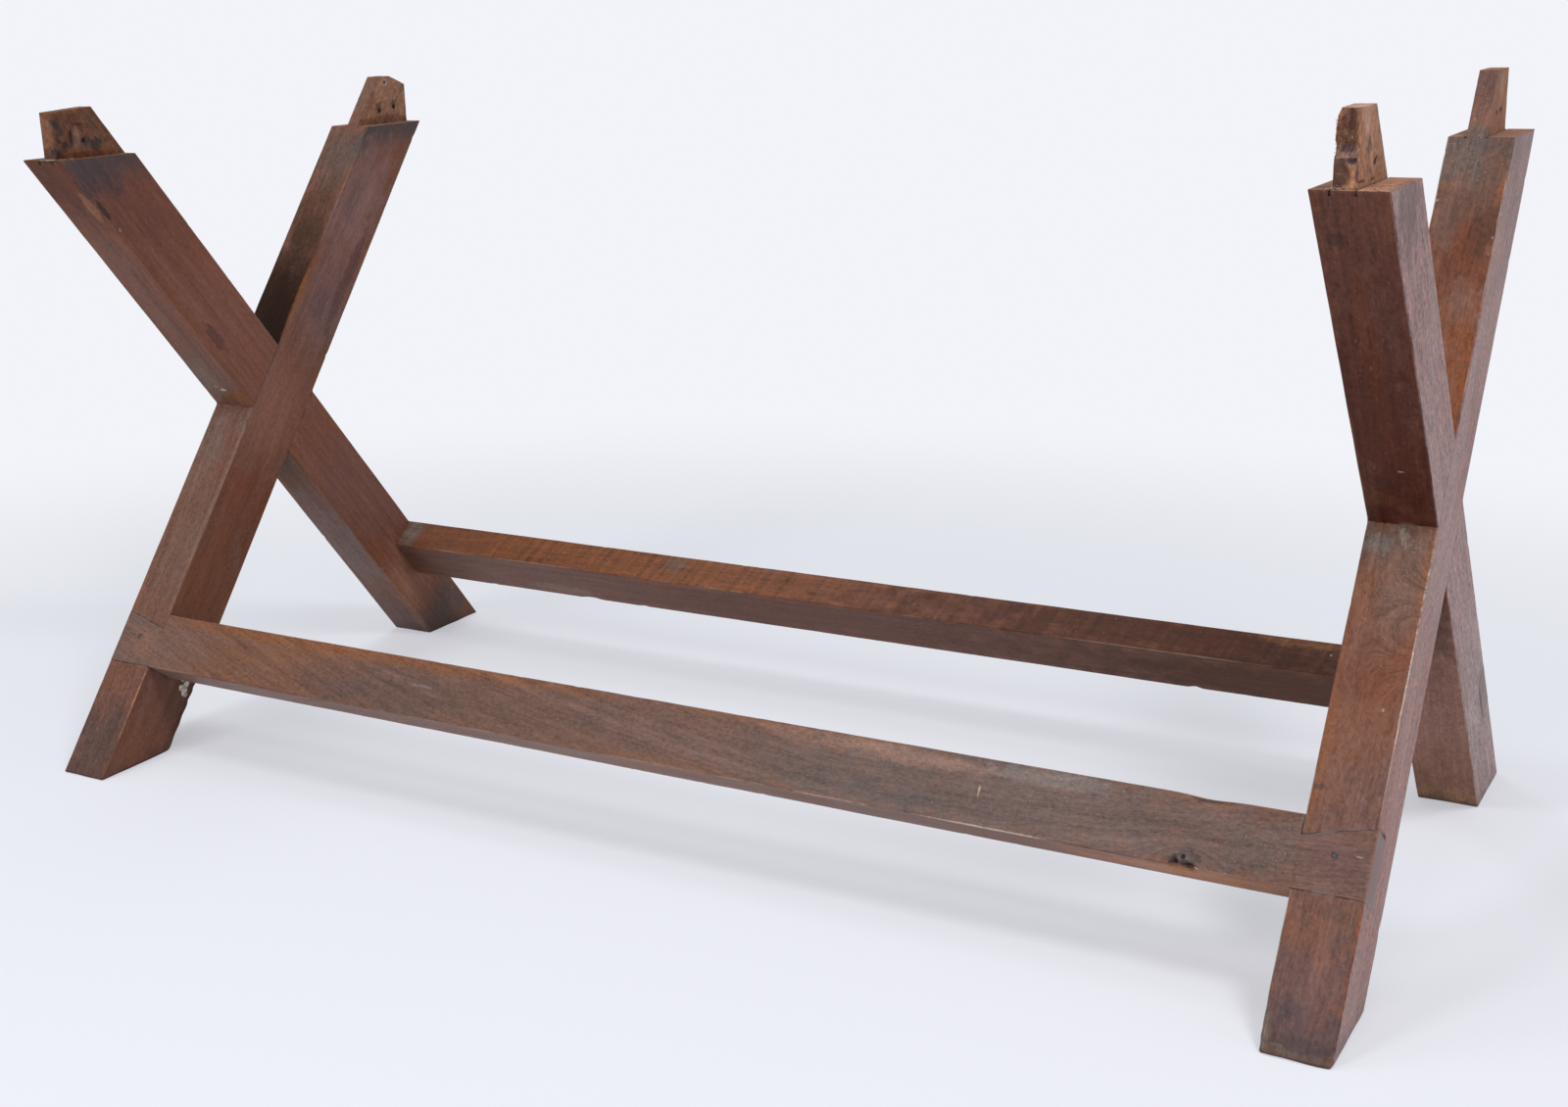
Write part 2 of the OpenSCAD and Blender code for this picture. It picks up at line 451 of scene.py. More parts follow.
class Skin:
    """A timber's surface as its finish meets it: where each point lies, and the grain and dirt there."""

    def __init__(self, material, timber, seed, pith, tilt, bend, knots):
        attribute = material.node_tree.nodes.new("ShaderNodeAttribute")
        attribute.attribute_name = "place"
        self.timber = timber
        self.seed = seed
        self.place = Signal(attribute.outputs["Vector"])
        self.whole = object_place(material)
        self.u, self.v, self.s = self.place.parts()
        self.x, self.y, self.z = self.whole.parts()
        reach, fibre_place = growth(self.place, seed, pith, tilt, bend, knots)
        self.rings = reach.lines(RING_SPACING, 4.0, 0.62, seed)
        self.fibre = fibre_place.noise(FIBRE_SIZE, 22.0, 3.0, 0.6, seed + 3)
        self.streak = fibre_place.noise(STREAK_SIZE, 14.0, 3.0, 0.55, seed + 7)
        self.pore = fibre_place.noise(PORE_SIZE, 8.0, 1.0, 0.5, seed + 17)
        self.grit = self.place.noise(GRIT_SIZE, 1.5, 3.0, 0.85, seed + 13)
        self.mottle = self.place.noise(MOTTLE_SIZE, 1.7, 3.0, 0.62, seed + 41)
        self.cloud = self.place.noise(CLOUD_SIZE, 1.5, 5.0, 0.62, seed + 29)
        self.gap, self.in_air = open_gap(self)


def crossing_depth(skin):
    """Distance into the other leg of the frame, from its first face."""
    return (TOE_Y - skin.y * skin.timber.handed) * LEAN_COS - skin.z * LEAN_SIN


def open_gap(skin):
    """Distance to the nearest arris, and whether that arris is open to the air."""
    u, v = skin.u, skin.v
    if not skin.timber.side:
        gap = u.least(RAIL_WIDTH - u).most(v.least(RAIL_THICK - v)).most(0.0)
        return gap, skin.x.size().band(INNER_FACE_X, INNER_FACE_X - 0.003)
    gap = (LEG_THICK / 2 - u.size()).most(v.least(LEG_WIDTH - v)).most(0.0)
    crossed = crossing_depth(skin)
    return gap, (crossed * -1.0).most(crossed - LEG_WIDTH).band(0.0, 0.002)


def seam_reach(skin):
    """Distance to the line where another timber butts against this one."""
    timber, u, s = skin.timber, skin.u, skin.s
    out = skin.x.size() - INNER_FACE_X
    top = out * TONGUE_FLARE + TONGUE_NECK
    if not timber.side:
        tongue = u.size().least((top - u).size()).most(out * -1.0)
        return tongue.least(out.size().most(top - u))
    notch = (s - timber.rail_s - top).most(timber.rail_s - s).most(skin.v - timber.lap)
    line = (crossing_depth(skin) - LEG_WIDTH / 2).size() - LEG_WIDTH / 2
    whole_half = (skin.x - timber.side * FRAME_X) * timber.handed
    return notch.size().least(line.size().most(whole_half))


FIBRE_TONE = 0.93
RING_TONE = 0.51
STREAK_TONE = 0.60
GRIT_TONE = 1.40
MOTTLE_TONE = 0.40
CLOUD_TONE = 0.25
FACE_FROM = 0.0010
FACE_FULL = 0.0003
INNER_CALM = 0.42
CURL_SPACING = 0.009
DARKEST = 0.12


def grain_tone(skin, weather, curly):
    """How much lighter or darker the grain makes a point. The outer face of a leg is the most weathered."""
    tone = (skin.fibre - 0.5) * FIBRE_TONE + (skin.grit - 0.5) * GRIT_TONE
    tone = tone + (skin.mottle - 0.5) * MOTTLE_TONE
    if skin.timber.side:
        half = LEG_THICK / 2
        outer = skin.u.band(half - FACE_FROM, half - FACE_FULL)
        inner = skin.u.band(FACE_FROM - half, FACE_FULL - half)
        tone = tone * (outer * weather - inner * INNER_CALM + 1.0)
    tone = tone + (skin.rings - 0.5) * RING_TONE + (skin.streak - 0.5) * STREAK_TONE
    if curly:
        slant = skin.s + skin.v * 0.3 + (skin.cloud - 0.5) * 0.010
        curl = slant.lines(CURL_SPACING, 2.0, 0.55, skin.seed)
        upper = skin.u.band(RAIL_WIDTH - 0.0015, RAIL_WIDTH - 0.0005)
        spread = skin.place.noise(0.09, 2.0, 1.0, 0.5, skin.seed + 5).band(0.30, 0.50)
        tone = tone + (curl - 0.5) * upper * spread
    return tone + (skin.cloud - 0.5) * CLOUD_TONE + 1.0


def dust_film(skin, film):
    """Where hands have rubbed the open arrises bright, and how thick a film of dust dulls the rest."""
    patchy = skin.place.noise(0.045, 3.0, 2.0, 0.5, skin.seed + 19).band(0.38, 0.62)
    rubbed = skin.gap.band(0.013, 0.002) * patchy * skin.in_air
    veil = skin.place.noise(0.055, 2.5, 4.0, 0.60, skin.seed + 23).band(0.28, 0.72)
    veil = (veil + (skin.grit - 0.5) * 0.9 + (skin.mottle - 0.5) + (skin.cloud - 0.5) * 0.5) * film
    return rubbed, veil.most(0.0).least(1.0) * (1.0 - rubbed * 0.7)


SMALL_MARK = 14


def marked(colour, skin, place, marks):
    """Lays marks on a colour. Each is a centre and a reach in mm, its colour and its strength.

    place says which way the mm run: across, into and along a timber, or right, back and up in the table.
    A fifth value says how ruffled the edge of a mark is.
    """
    for centre, reach, paint, strength, *ruffle in marks:
        small = sorted(reach)[1] < SMALL_MARK
        unevenness, usual = (skin.mottle, 1.5) if small else (skin.cloud, 2.2)
        start, full = (1.15, 0.60) if small else (1.25, 0.20)
        edge = place.away(centre, reach) + (unevenness - 0.5) * (ruffle[0] if ruffle else usual)
        colour = (edge.band(start, full) * strength).blend(colour, paint)
    return colour


# Near-black of gum in pores and joints, also used as painted shade in holes, in the knot's hollows and along
# the feet
GUM_AND_SHADE_BLACK = (0.016, 0.010, 0.008)
ORANGE_RUB = (0.235, 0.082, 0.028)
GREY_FILM = (0.135, 0.120, 0.115)
PALE_DUST = (0.330, 0.300, 0.270)
PALE_ARRIS = (0.500, 0.370, 0.300)
SOILED = (0.050, 0.036, 0.030)
SOOT = (0.066, 0.054, 0.053)
SPECK_SPACING = 0.0015


def pored(colour, skin, veil):
    """Open pores, dark in the clean wood and pale where dust has filled them."""
    colour = (skin.pore.band(0.60, 0.76) * 0.30).blend(colour, GUM_AND_SHADE_BLACK)
    return (skin.pore.band(0.38, 0.26) * veil * 0.25).blend(colour, PALE_DUST)


def worn_arrises(colour, skin, arris):
    """Pale wood along the open arrises, where the finish is rubbed through."""
    line = skin.gap + (skin.place.noise(0.004, 4.0, 3.0, 0.6, skin.seed + 31) - 0.5) * 0.0016
    here = skin.place.noise(0.05, 3.0, 3.0, 0.6, skin.seed + 37).band(0.46, 0.60)
    return (line.band(0.0014, 0.0005) * skin.in_air * here * arris).blend(colour, PALE_ARRIS)


def joint_lines(colour, skin, tight):
    """Dust beside a joint in some places, and a dark line in it at others."""
    seam = seam_reach(skin) + (skin.mottle - 0.5) * 0.0014
    colour = (seam.band(0.0036, 0.0008) * skin.cloud.band(0.46, 0.60) * 0.5).blend(colour, GREY_FILM)
    return (seam.band(0.0010, 0.0004) * skin.cloud.band(0.60, 0.44) * tight).blend(colour, GUM_AND_SHADE_BLACK)


def sooty_top(colour, skin, soot):
    """Dark dirt on the two sides of a leg, just under its shoulders."""
    high = skin.z.band(SHOULDER_Z - 0.034, SHOULDER_Z - 0.008)
    uneven = (skin.cloud + (skin.mottle - 0.5) * 0.4).band(0.24, 0.54)
    on_side = skin.u.size().band(LEG_THICK / 2 - 0.0014, LEG_THICK / 2 - 0.0006)
    return (high * uneven * on_side * soot).blend(colour, SOOT)


def sawn_wood(skin, bare, bare_marks):
    """The tenon and its shoulders: where they are, and their bare wood as the saw left it."""
    raw = skin.z.band(SHOULDER_Z - 0.0008, SHOULDER_Z - 0.0001) * skin.v.band(0.0004, 0.0014)
    tone = (skin.rings - 0.5) * 0.6 + (skin.fibre - 0.5) * 0.5 + (skin.streak - 0.5) * 0.6
    tone = tone + (skin.mottle - 0.5) * 1.3 + (skin.grit - 0.5) * 1.6 + 1.05
    wood = (skin.cloud.band(0.60, 0.42) * 0.35).blend(bare, [0.55 * c for c in bare])
    return raw, marked(wood, skin, skin.whole, bare_marks).dimmed(tone.most(DARKEST))


END_DARK = (0.145, 0.088, 0.080)
END_PALE = (0.290, 0.185, 0.172)


def end_grain(colour, skin):
    """The end of a rail's tongue, flush with the outer face of the leg."""
    end = skin.x.size().band(OUTER_FACE_X - 0.0008, OUTER_FACE_X - 0.0004)
    wood = (skin.mottle * 0.9 + skin.grit * 0.5 - 0.2).blend(END_DARK, END_PALE)
    return end.blend(colour, wood)


def dust_specks(colour, skin, dusty):
    """Fine pale specks, many more of them around each place in dusty."""
    near, luck, share = skin.place.cells(SPECK_SPACING, 1.2)
    near = near + share * 0.20 + (skin.mottle - 0.5) * 0.7
    for centre, reach in dusty:
        thick = skin.place.away(centre, reach) + (skin.cloud - 0.5) * 1.8
        luck = luck + thick.band(1.2, 0.3) * 0.36
    speck = near.band(0.32, 0.10) * luck.band(0.984, 0.990) * (share * -0.6 + 0.92)
    return speck.blend(colour, PALE_DUST)


def grime_and_contact_shade(colour, skin):
    """Grime near the floor, and a painted contact shadow: a dark line where the foot stands on it."""
    grime = skin.z.band(0.022, 0.0) * skin.cloud.band(0.35, 0.60)
    colour = (grime * 0.55).blend(colour, SOILED)
    # A painted contact shadow: a thin dark line along the floor
    return (skin.z.band(0.0035, 0.0012) * 0.55).blend(colour, GUM_AND_SHADE_BLACK)


def wood_material(
    name, timber, seed, clean, dull, film, marks, bare=None, bare_marks=(), dusty=(),
    glow=0.35, gloss=0.18, arris=0.30, tight=0.75, soot=0.0, weather=0.0,
    curly=False, pith=(0.10, -0.14), tilt=0.02, bend=0.0, knots=(),
):
    """Old oiled hardwood: clean and dull are its brightest finish and that finish under a film of dust."""
    material, shader = new_material(name)
    skin = Skin(material, timber, seed, pith, tilt, bend, knots)
    rubbed, veil = dust_film(skin, film)
    colour = veil.blend(clean, dull)
    colour = (rubbed * glow).blend(colour, ORANGE_RUB)
    colour = marked(colour, skin, skin.place, marks)
    colour = colour.dimmed(grain_tone(skin, weather, curly).most(DARKEST))
    colour = pored(colour, skin, veil)
    colour = worn_arrises(colour, skin, arris)
    colour = joint_lines(colour, skin, tight)
    raw = 0.0
    if soot:
        colour = sooty_top(colour, skin, soot)
    if bare:
        raw, sawn = sawn_wood(skin, bare, bare_marks)
        colour = raw.blend(colour, sawn)
    else:
        colour = end_grain(colour, skin)
    colour = dust_specks(colour, skin, dusty)
    grime_and_contact_shade(colour, skin).feed(shader, "Base Color")
    matt = veil * 0.25 + (skin.fibre - 0.5) * 0.15 + raw * 0.30 + 0.42
    matt.feed(shader, "Roughness")
    shader.inputs["Specular IOR Level"].default_value = gloss
    shader.inputs["Sheen Weight"].default_value = gloss * 0.5
    shader.inputs["Sheen Roughness"].default_value = 0.40
    height = skin.fibre * 0.6 - skin.pore.band(0.58, 0.74) * 0.7 + skin.rings * 0.3
    height = height + skin.grit * (raw * 0.8 + 0.3)
    height.relief(shader, 0.30, 0.0004)
    return material


right_front = Timber("right_front_leg", 1, 1)
right_front_leg = leg_piece(
    right_front, foot_radius=0.0036, saw_depth=0.00030,
    dents=(((705, 247, 719), 2.6, 2.2), ((705, 270, 721), 2.6, 2.2)),
    scars=(
        ((-31, 0, 3), (9, 9, 12), 2.6), ((-31, 0, 24), (6, 6, 20), 1.2),
        ((31, 0, 82), (3, 3, 4), 1.4), ((31, 0, 6), (5, 5, 8), 2.0),
    ),
)
right_front_leg.data.materials.append(wood_material(
    "right_front_wood", right_front, 1.3,
    clean=(0.190, 0.072, 0.038), dull=(0.152, 0.082, 0.066), bare=(0.300, 0.124, 0.063),
    film=0.62, glow=0.5, gloss=0.16, arris=0.55, weather=1.3, soot=0.35,
    knots=(((36, 0, 385), (34, 60, 40), 0.040), ((-14, 0, 300), (13, 40, 24), 0.012)),
    marks=(
        # Outer face, dulled by dust and paled by painted sheen
        ((31, 42, 500), (1.6, 400, 2400), (0.300, 0.160, 0.142), 0.95),
        ((31, 42, 250), (1.6, 300, 200), (0.310, 0.135, 0.105), 0.60),
        ((31, 20, 600), (1.6, 14, 200), (0.300, 0.215, 0.205), 0.45),
        # Front face, from the crossing to the foot and up to the top
        ((0, 0, 470), (60, 2, 40), (0.150, 0.118, 0.100), 0.50),
        ((0, 0, 180), (60, 2, 90), (0.132, 0.072, 0.062), 0.55),
        ((12, 0, 404), (34, 2, 40), (0.150, 0.098, 0.080), 0.45),
        ((0, 0, 335), (60, 2, 44), (0.140, 0.038, 0.014), 0.50),
        ((0, 0, 600), (60, 2, 130), (0.228, 0.063, 0.017), 0.70),
        ((0, 0, 770), (60, 2, 60), (0.110, 0.028, 0.010), 0.70),
        # Rubbed arrises, and spots on the front face
        ((31, 0, 440), (5, 2, 60), (0.240, 0.092, 0.048), 0.70),
        ((31, 0, 430), (1.0, 1.3, 70), PALE_ARRIS, 0.75),
        ((4, 0, 472), (4.5, 2, 8), (0.420, 0.330, 0.270), 0.50, 3.6),
        ((-20, 0, 464), (16, 2, 9), (0.205, 0.180, 0.160), 0.55, 3.0),
        ((-31, 0, 330), (6, 2, 110), (0.200, 0.072, 0.032), 0.40),
        ((-25, 0, 234), (7, 2, 3), SOILED, 0.55),
        ((15, 0, 310), (1.2, 2, 1.6), PALE_DUST, 0.6),
        ((8, 0, 128), (12, 2, 9), SOILED, 0.35),
        ((31, 0, 90), (2.8, 2, 110), (0.240, 0.070, 0.026), 0.8),
        # Open upper end of the front rail's joint, and the outer face above the crossing
        ((31, 27, 207.5), (2, 9, 2.8), GUM_AND_SHADE_BLACK, 0.92, 0.6),
        ((31, 60, 850), (1.6, 90, 110), (0.215, 0.120, 0.108), 0.75),
        # Front face near the top
        ((-6, 0, 965), (60, 2, 62), (0.110, 0.058, 0.050), 0.85),
        ((-22, 0, 800), (18, 2, 44), (0.150, 0.095, 0.080), 0.50),
        # Bright nicks along the outer arris
        ((31, 0, 300), (1.4, 1.4, 60), PALE_ARRIS, 0.75),
        ((31, 0, 352), (1.2, 1.4, 42), (0.66, 0.54, 0.48), 0.85),
        ((31, 0, 168), (1.4, 1.4, 14), (0.6, 0.5, 0.42), 0.7),
        # Soiled and scuffed foot
        ((0, 0, 70), (60, 2, 40), (0.115, 0.066, 0.066), 0.65),
        ((8, 0, 22), (60, 2, 30), (0.068, 0.048, 0.054), 0.65),
        ((-28, 0, 22), (6, 6, 20), (0.125, 0.100, 0.082), 0.65, 2.4),
        ((-28, 0, 17), (1.0, 3, 14), (0.280, 0.225, 0.180), 0.45, 3.2),
        ((-25, 0, 13), (0.9, 3, 12), (0.250, 0.200, 0.160), 0.40, 3.2),
        ((6, 0, 15), (34, 2, 8), (0.056, 0.038, 0.042), 0.55),
        ((-14, 0, 8), (16, 3, 4), (0.170, 0.130, 0.105), 0.35, 3.4),
        ((12, 0, 5), (20, 3, 4), (0.180, 0.125, 0.098), 0.35, 3.6),
        ((-17, 0, 12), (7, 3, 1.3), (0.210, 0.185, 0.170), 0.45, 2.6),
        # Dirt and spots near the top
        ((-12, 0, 876), (50, 2, 50), (0.108, 0.080, 0.070), 0.85),
        ((16, 0, 884), (22, 2, 20), (0.045, 0.040, 0.036), 0.45),
        ((0, 0, 815), (60, 2, 22), (0.072, 0.040, 0.030), 0.50),
        ((33, 0, 850), (5, 2, 60), (0.150, 0.070, 0.034), 0.50),
        ((31, 0, 788), (3, 2, 9), GUM_AND_SHADE_BLACK, 0.45),
        ((28, 0, 781), (1.3, 2, 1.8), PALE_DUST, 0.9, 0.9),
        ((22, 0, 785), (14, 2, 30), (0.050, 0.024, 0.016), 0.55),
        ((14, 0, 850), (22, 2, 36), (0.090, 0.062, 0.050), 0.50),
        ((-29, 0, 820), (2, 2, 1.6), PALE_DUST, 0.7, 0.9),
        # Dark corner at the crossing
        ((31, 2, 517), (2, 2, 2), GUM_AND_SHADE_BLACK, 0.8),
    ),
    bare_marks=(
        # Nail holes, painted black for the shade in them
        ((705, 247, 719.5), (9, 5, 3.0), GUM_AND_SHADE_BLACK, 0.97, 0.6),
        ((705, 270, 721), (9, 5, 2.8), GUM_AND_SHADE_BLACK, 0.97, 0.6),
        # Cheek, front edge, shoulder and top of the tenon
        ((705, 266, 748), (9, 12, 16), (0.340, 0.230, 0.190), 0.45),
        ((705, 285, 735), (9, 16, 30), (0.310, 0.140, 0.070), 0.50),
        ((696, 208, 728), (16, 20, 44), (0.205, 0.094, 0.066), 0.50),
        ((696, 203, 706), (16, 14, 12), (0.120, 0.088, 0.080), 0.70),
        ((720, 215, 700), (24, 40, 2), (0.150, 0.100, 0.082), 0.65),
        ((700, 250, 762), (20, 60, 8), (0.150, 0.066, 0.040), 0.45),
    ),
    dusty=(((0, 0, 450), (40, 3, 70)), ((-5, 0, 880), (34, 3, 44)), ((-8, 10, 935), (16, 40, 50))),
))

# ---- Right rear leg ----
# The inner leg of the right frame, with its foot at the rear and its tenon at the front. The front edge of
# this tenon is broken: above a ledge it is torn back to rough fibres, and shavings lie at its root.

TENON_IN_X = FRAME_X - 0.014
TENON_OUT_X = FRAME_X + 0.004
TENON_FRONT_Y = -0.2967
TENON_BACK_Y = -0.2300
ON_SHOULDER_Z = SHOULDER_Z + 0.0003
LEDGE_Z = SHOULDER_Z + 0.0235
LEDGE_SOFT = 0.0016
TORN_HEIGHT = 0.0365
TORN_LEAN = 0.0034
CHEEK_TAPER = 0.06
SPLIT_LOW = 0.0062
SPLIT_HIGH = 0.004


def torn_front(spot):
    """Where the break left a point of the tenon: rough above a ledge, with the outer corner split off."""
    height = spot.z - LEDGE_Z - LEDGE_SOFT * noise.noise(Vector((spot.x * 300, 1.0, 2.0)))
    start = min(1.0, max(0.0, height / LEDGE_SOFT))
    strands = noise.noise(Vector((spot.x * 620, 3.0, spot.z * 160)))
    notches = noise.noise(Vector((7.0, spot.y * 200, spot.z * 640)))
    front = TENON_FRONT_Y + start * max(0.0, 0.0016 + 0.0016 * strands)
    lean = TORN_LEAN * (max(0.0, height) / TORN_HEIGHT) ** 5
    inner = TENON_IN_X + start * (0.0005 + 0.0011 * notches + lean)
    inner = inner - CHEEK_TAPER * max(0.0, spot.y - TENON_FRONT_Y)
    reach = SPLIT_HIGH if start > 0 else SPLIT_LOW
    overlap = max(0.0, reach - (TENON_OUT_X - spot.x) - 0.55 * (spot.y - TENON_FRONT_Y))
    return Vector((max(0.0, inner - spot.x) - 0.45 * overlap, max(0.0, front - spot.y) + 0.65 * overlap, 0))


def loose_piece(name, bm, material):
    """A small object made of closed skins, carried by the base."""
    mesh = bpy.data.meshes.new(name)
    bmesh.ops.recalc_face_normals(bm, faces=bm.faces[:])
    bm.to_mesh(mesh)
    bm.free()
    mesh.shade_smooth()
    mesh.materials.append(material)
    piece = bpy.data.objects.new(name, mesh)
    bpy.context.collection.objects.link(piece)
    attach(piece, "root")


SPLINTER_JOINTS = 4
SPLINTER_TURNS = [math.tau * i / 3 for i in range(3)]


def add_splinter(bm, start, lean, length, radius, curl):
    """One torn fibre: a tapering thread that bends as it goes."""
    lean = lean.normalized()
    side = lean.orthogonal().normalized()
    rings = []
    spot = start.copy()
    for i in range(SPLINTER_JOINTS + 1):
        around = lean.cross(side).normalized()
        width = radius * (1.0 - 0.85 * i / SPLINTER_JOINTS)
        arms = [side * math.cos(turn) + around * math.sin(turn) for turn in SPLINTER_TURNS]
        rings.append([bm.verts.new(spot + arm * width) for arm in arms])
        spot = spot + lean * length / SPLINTER_JOINTS
        lean = (lean + curl / SPLINTER_JOINTS).normalized()
        side = (side - lean * side.dot(lean)).normalized()
    for low, high in zip(rings, rings[1:]):
        for i in range(3):
            bm.faces.new((low[i - 1], low[i], high[i], high[i - 1]))
    bm.faces.new(rings[0][::-1])
    bm.faces.new(rings[-1])


def add_crumb(bm, spot, size, dice):
    """One chip: a squashed, uneven lump."""
    made = bmesh.ops.create_icosphere(bm, subdivisions=1, radius=size)["verts"]
    stretch = Vector((dice.uniform(0.6, 1.5), dice.uniform(0.6, 1.5), dice.uniform(0.35, 0.8)))
    for corner in made:
        corner.co = corner.co * stretch * dice.uniform(0.75, 1.2) + spot
        corner.co.z = max(corner.co.z, 0.0002)


def mixed_matter(name, dark, light, size, roughness):
    """Loose stuff whose colour runs from dark to light from one bit to the next."""
    material, shader = new_material(name)
    amount = object_place(material).noise(size, 1.0, 4.0, 0.65, 7.0)
    amount.band(0.36, 0.64).blend(dark, light).feed(shader, "Base Color")
    amount.relief(shader, 0.4, 0.0004)
    shader.inputs["Roughness"].default_value = roughness
    shader.inputs["Specular IOR Level"].default_value = 0.15
    return material


right_rear = Timber("right_rear_leg", -1, 1)
right_rear_leg = leg_piece(
    right_rear, foot_radius=0.0026, saw_depth=0.00022,
    dents=(
        ((705, -243, 716), 2.6, 3.0), ((705, -264, 729), 4.0, 0.8), ((705, -283, 706), 3.0, 1.2),
        ((705, -247, 704), 3.0, 1.0), ((696, -297, 742), 3.4, 1.6), ((693, -297, 733), 3.0, 1.4),
    ),
    torn=torn_front,
)
right_rear_leg.data.materials.append(wood_material(
    "right_rear_wood", right_rear, 14.1,
    clean=(0.112, 0.038, 0.024), dull=(0.108, 0.048, 0.036), bare=(0.385, 0.185, 0.108),
    film=0.55, gloss=0.12, arris=0.35, weather=1.3, pith=(-0.12, 0.20),
    marks=(
        # Outer face, grey with dust and with painted sheen
        ((31, 42, 500), (1.6, 400, 2400), (0.315, 0.180, 0.165), 0.97),
        ((31, 42, 200), (1.6, 120, 180), (0.330, 0.230, 0.215), 0.80),
        ((31, 44, 800), (1.6, 60, 90), (0.232, 0.124, 0.108), 0.58),
        ((31, 44, 905), (1.6, 46, 50), (0.098, 0.040, 0.034), 0.84),
        # Leaning front face, turned down to the floor: the dark colour over its middle, darkest by the
        # crossing, is painted shade
        ((0, 84, 660), (80, 2, 200), (0.078, 0.019, 0.009), 0.92),
        ((0, 84, 940), (60, 2, 60), (0.120, 0.042, 0.026), 0.55),
        ((0, 84, 585), (80, 2, 56), (0.060, 0.014, 0.006), 0.50),
        ((0, 84, 220), (80, 2, 210), (0.285, 0.142, 0.102), 0.90),
        ((-5, 84, 790), (10, 2, 90), (0.110, 0.030, 0.010), 0.45),
        ((-14, 84, 905), (10, 2, 9), GUM_AND_SHADE_BLACK, 0.40),
        ((-16, 84, 584), (16, 2, 12), (0.125, 0.040, 0.014), 0.5),
        ((6, 84, 625), (3, 2, 1.5), PALE_DUST, 0.7),
        ((0, 84, 130), (80, 2, 60), (0.225, 0.105, 0.060), 0.5),
        ((0, 84, 78), (60, 2, 18), (0.330, 0.170, 0.085), 0.8),
        ((11, 84, 77), (8, 2, 1.4), (0.420, 0.300, 0.200), 0.70, 2.4),
        # The rear rail's joint, open on the outer face
        ((31, 27, 178), (2, 2.6, 34), GUM_AND_SHADE_BLACK, 0.92, 0.6),
        ((31, 20, 214), (2, 7, 1.4), GUM_AND_SHADE_BLACK, 0.80, 0.6),
    ),
    bare_marks=(
        # Torn front of the tenon, above its ledge
        ((698, -298, 744), (11, 8, 26), (0.095, 0.040, 0.027), 0.97, 0.5),
        ((699, -298, 755), (1.2, 8, 9), (0.045, 0.022, 0.016), 0.70, 1.2),
        ((704, -298, 750), (1.5, 8, 20), (0.050, 0.028, 0.024), 0.60, 1.2),
        ((696, -298, 753), (1.6, 8, 9), (0.160, 0.076, 0.056), 0.60, 1.4),
        ((689, -297, 742), (3.4, 10, 20), (0.185, 0.072, 0.044), 0.85, 1.2),
        ((698, -296, 740), (6.4, 9, 6.0), (0.210, 0.098, 0.056), 0.70, 3.0),
        ((696, -296, 741), (3.4, 9, 3.0), (0.330, 0.185, 0.120), 0.55, 3.2),
        ((698, -296, 743), (1.6, 9, 4.0), (0.040, 0.022, 0.016), 0.60, 3.0),
        ((696, -296, 731), (10, 9, 3.8), (0.095, 0.060, 0.062), 0.70, 2.2),
        # The ledge, and the front below it
        ((696, -297, 725.5), (12, 8, 2.0), (0.185, 0.125, 0.122), 0.80, 2.0),
        ((700, -297, 727), (3.4, 8, 1.6), (0.270, 0.165, 0.140), 0.60, 2.0),
        ((691, -298, 711), (10, 8, 15), (0.088, 0.042, 0.028), 0.97, 0.3),
        ((691, -298, 709), (12, 8, 1.0), (0.125, 0.062, 0.040), 0.50, 0.8),
        ((695, -297, 721.6), (11, 8, 2.0), (0.040, 0.028, 0.036), 0.80, 0.9),
        ((701, -297, 720.5), (4, 8, 2.6), (0.030, 0.020, 0.028), 0.80, 1.2),
        ((692, -298, 711.5), (5, 6, 0.4), (0.200, 0.130, 0.100), 0.50, 0.6),
        ((703, -295, 709), (1.6, 6, 10), (0.235, 0.105, 0.055), 0.85, 1.2),
        # Inner shoulder, with the tenon's shadow painted on it, and outer shoulder
        ((678, -300, 700), (12, 34, 2), (0.125, 0.060, 0.038), 0.75),
        ((731, -255, 700), (6, 60, 2), (0.150, 0.085, 0.062), 0.60),
        # Outer cheek, with a nail hole painted black for the shade in it, and bruises
        ((704, -290, 712), (1.7, 4, 10), (0.100, 0.066, 0.068), 0.75, 1.4),
        ((705, -263, 728), (9, 8, 6.0), (0.110, 0.072, 0.064), 0.75, 2.4),
        ((705, -262, 734), (9, 4, 4.4), (0.110, 0.070, 0.062), 0.70, 2.4),
        ((705, -243, 716.3), (9, 4.6, 3.3), GUM_AND_SHADE_BLACK, 0.98, 0.8),
        ((705, -238, 719.3), (9, 2.6, 1.6), GUM_AND_SHADE_BLACK, 0.95, 0.6),
        ((705, -264, 712), (9, 3.0, 6), (0.170, 0.100, 0.085), 0.70),
        ((705, -280, 704.5), (9, 9, 1.2), (0.075, 0.024, 0.014), 0.85),
        ((705, -248, 703.6), (9, 9, 1.2), (0.080, 0.026, 0.014), 0.85),
        ((705, -272, 750), (9, 9, 12), (0.420, 0.290, 0.240), 0.50),
        # Sawn top
        ((698, -265, 761), (16, 46, 2), (0.380, 0.300, 0.235), 0.60),
    ),
))

torn_wood = mixed_matter("torn_wood", (0.040, 0.014, 0.008), (0.230, 0.100, 0.048), 0.0022, 0.85)
dice = random.Random(5)
fibres = bmesh.new()

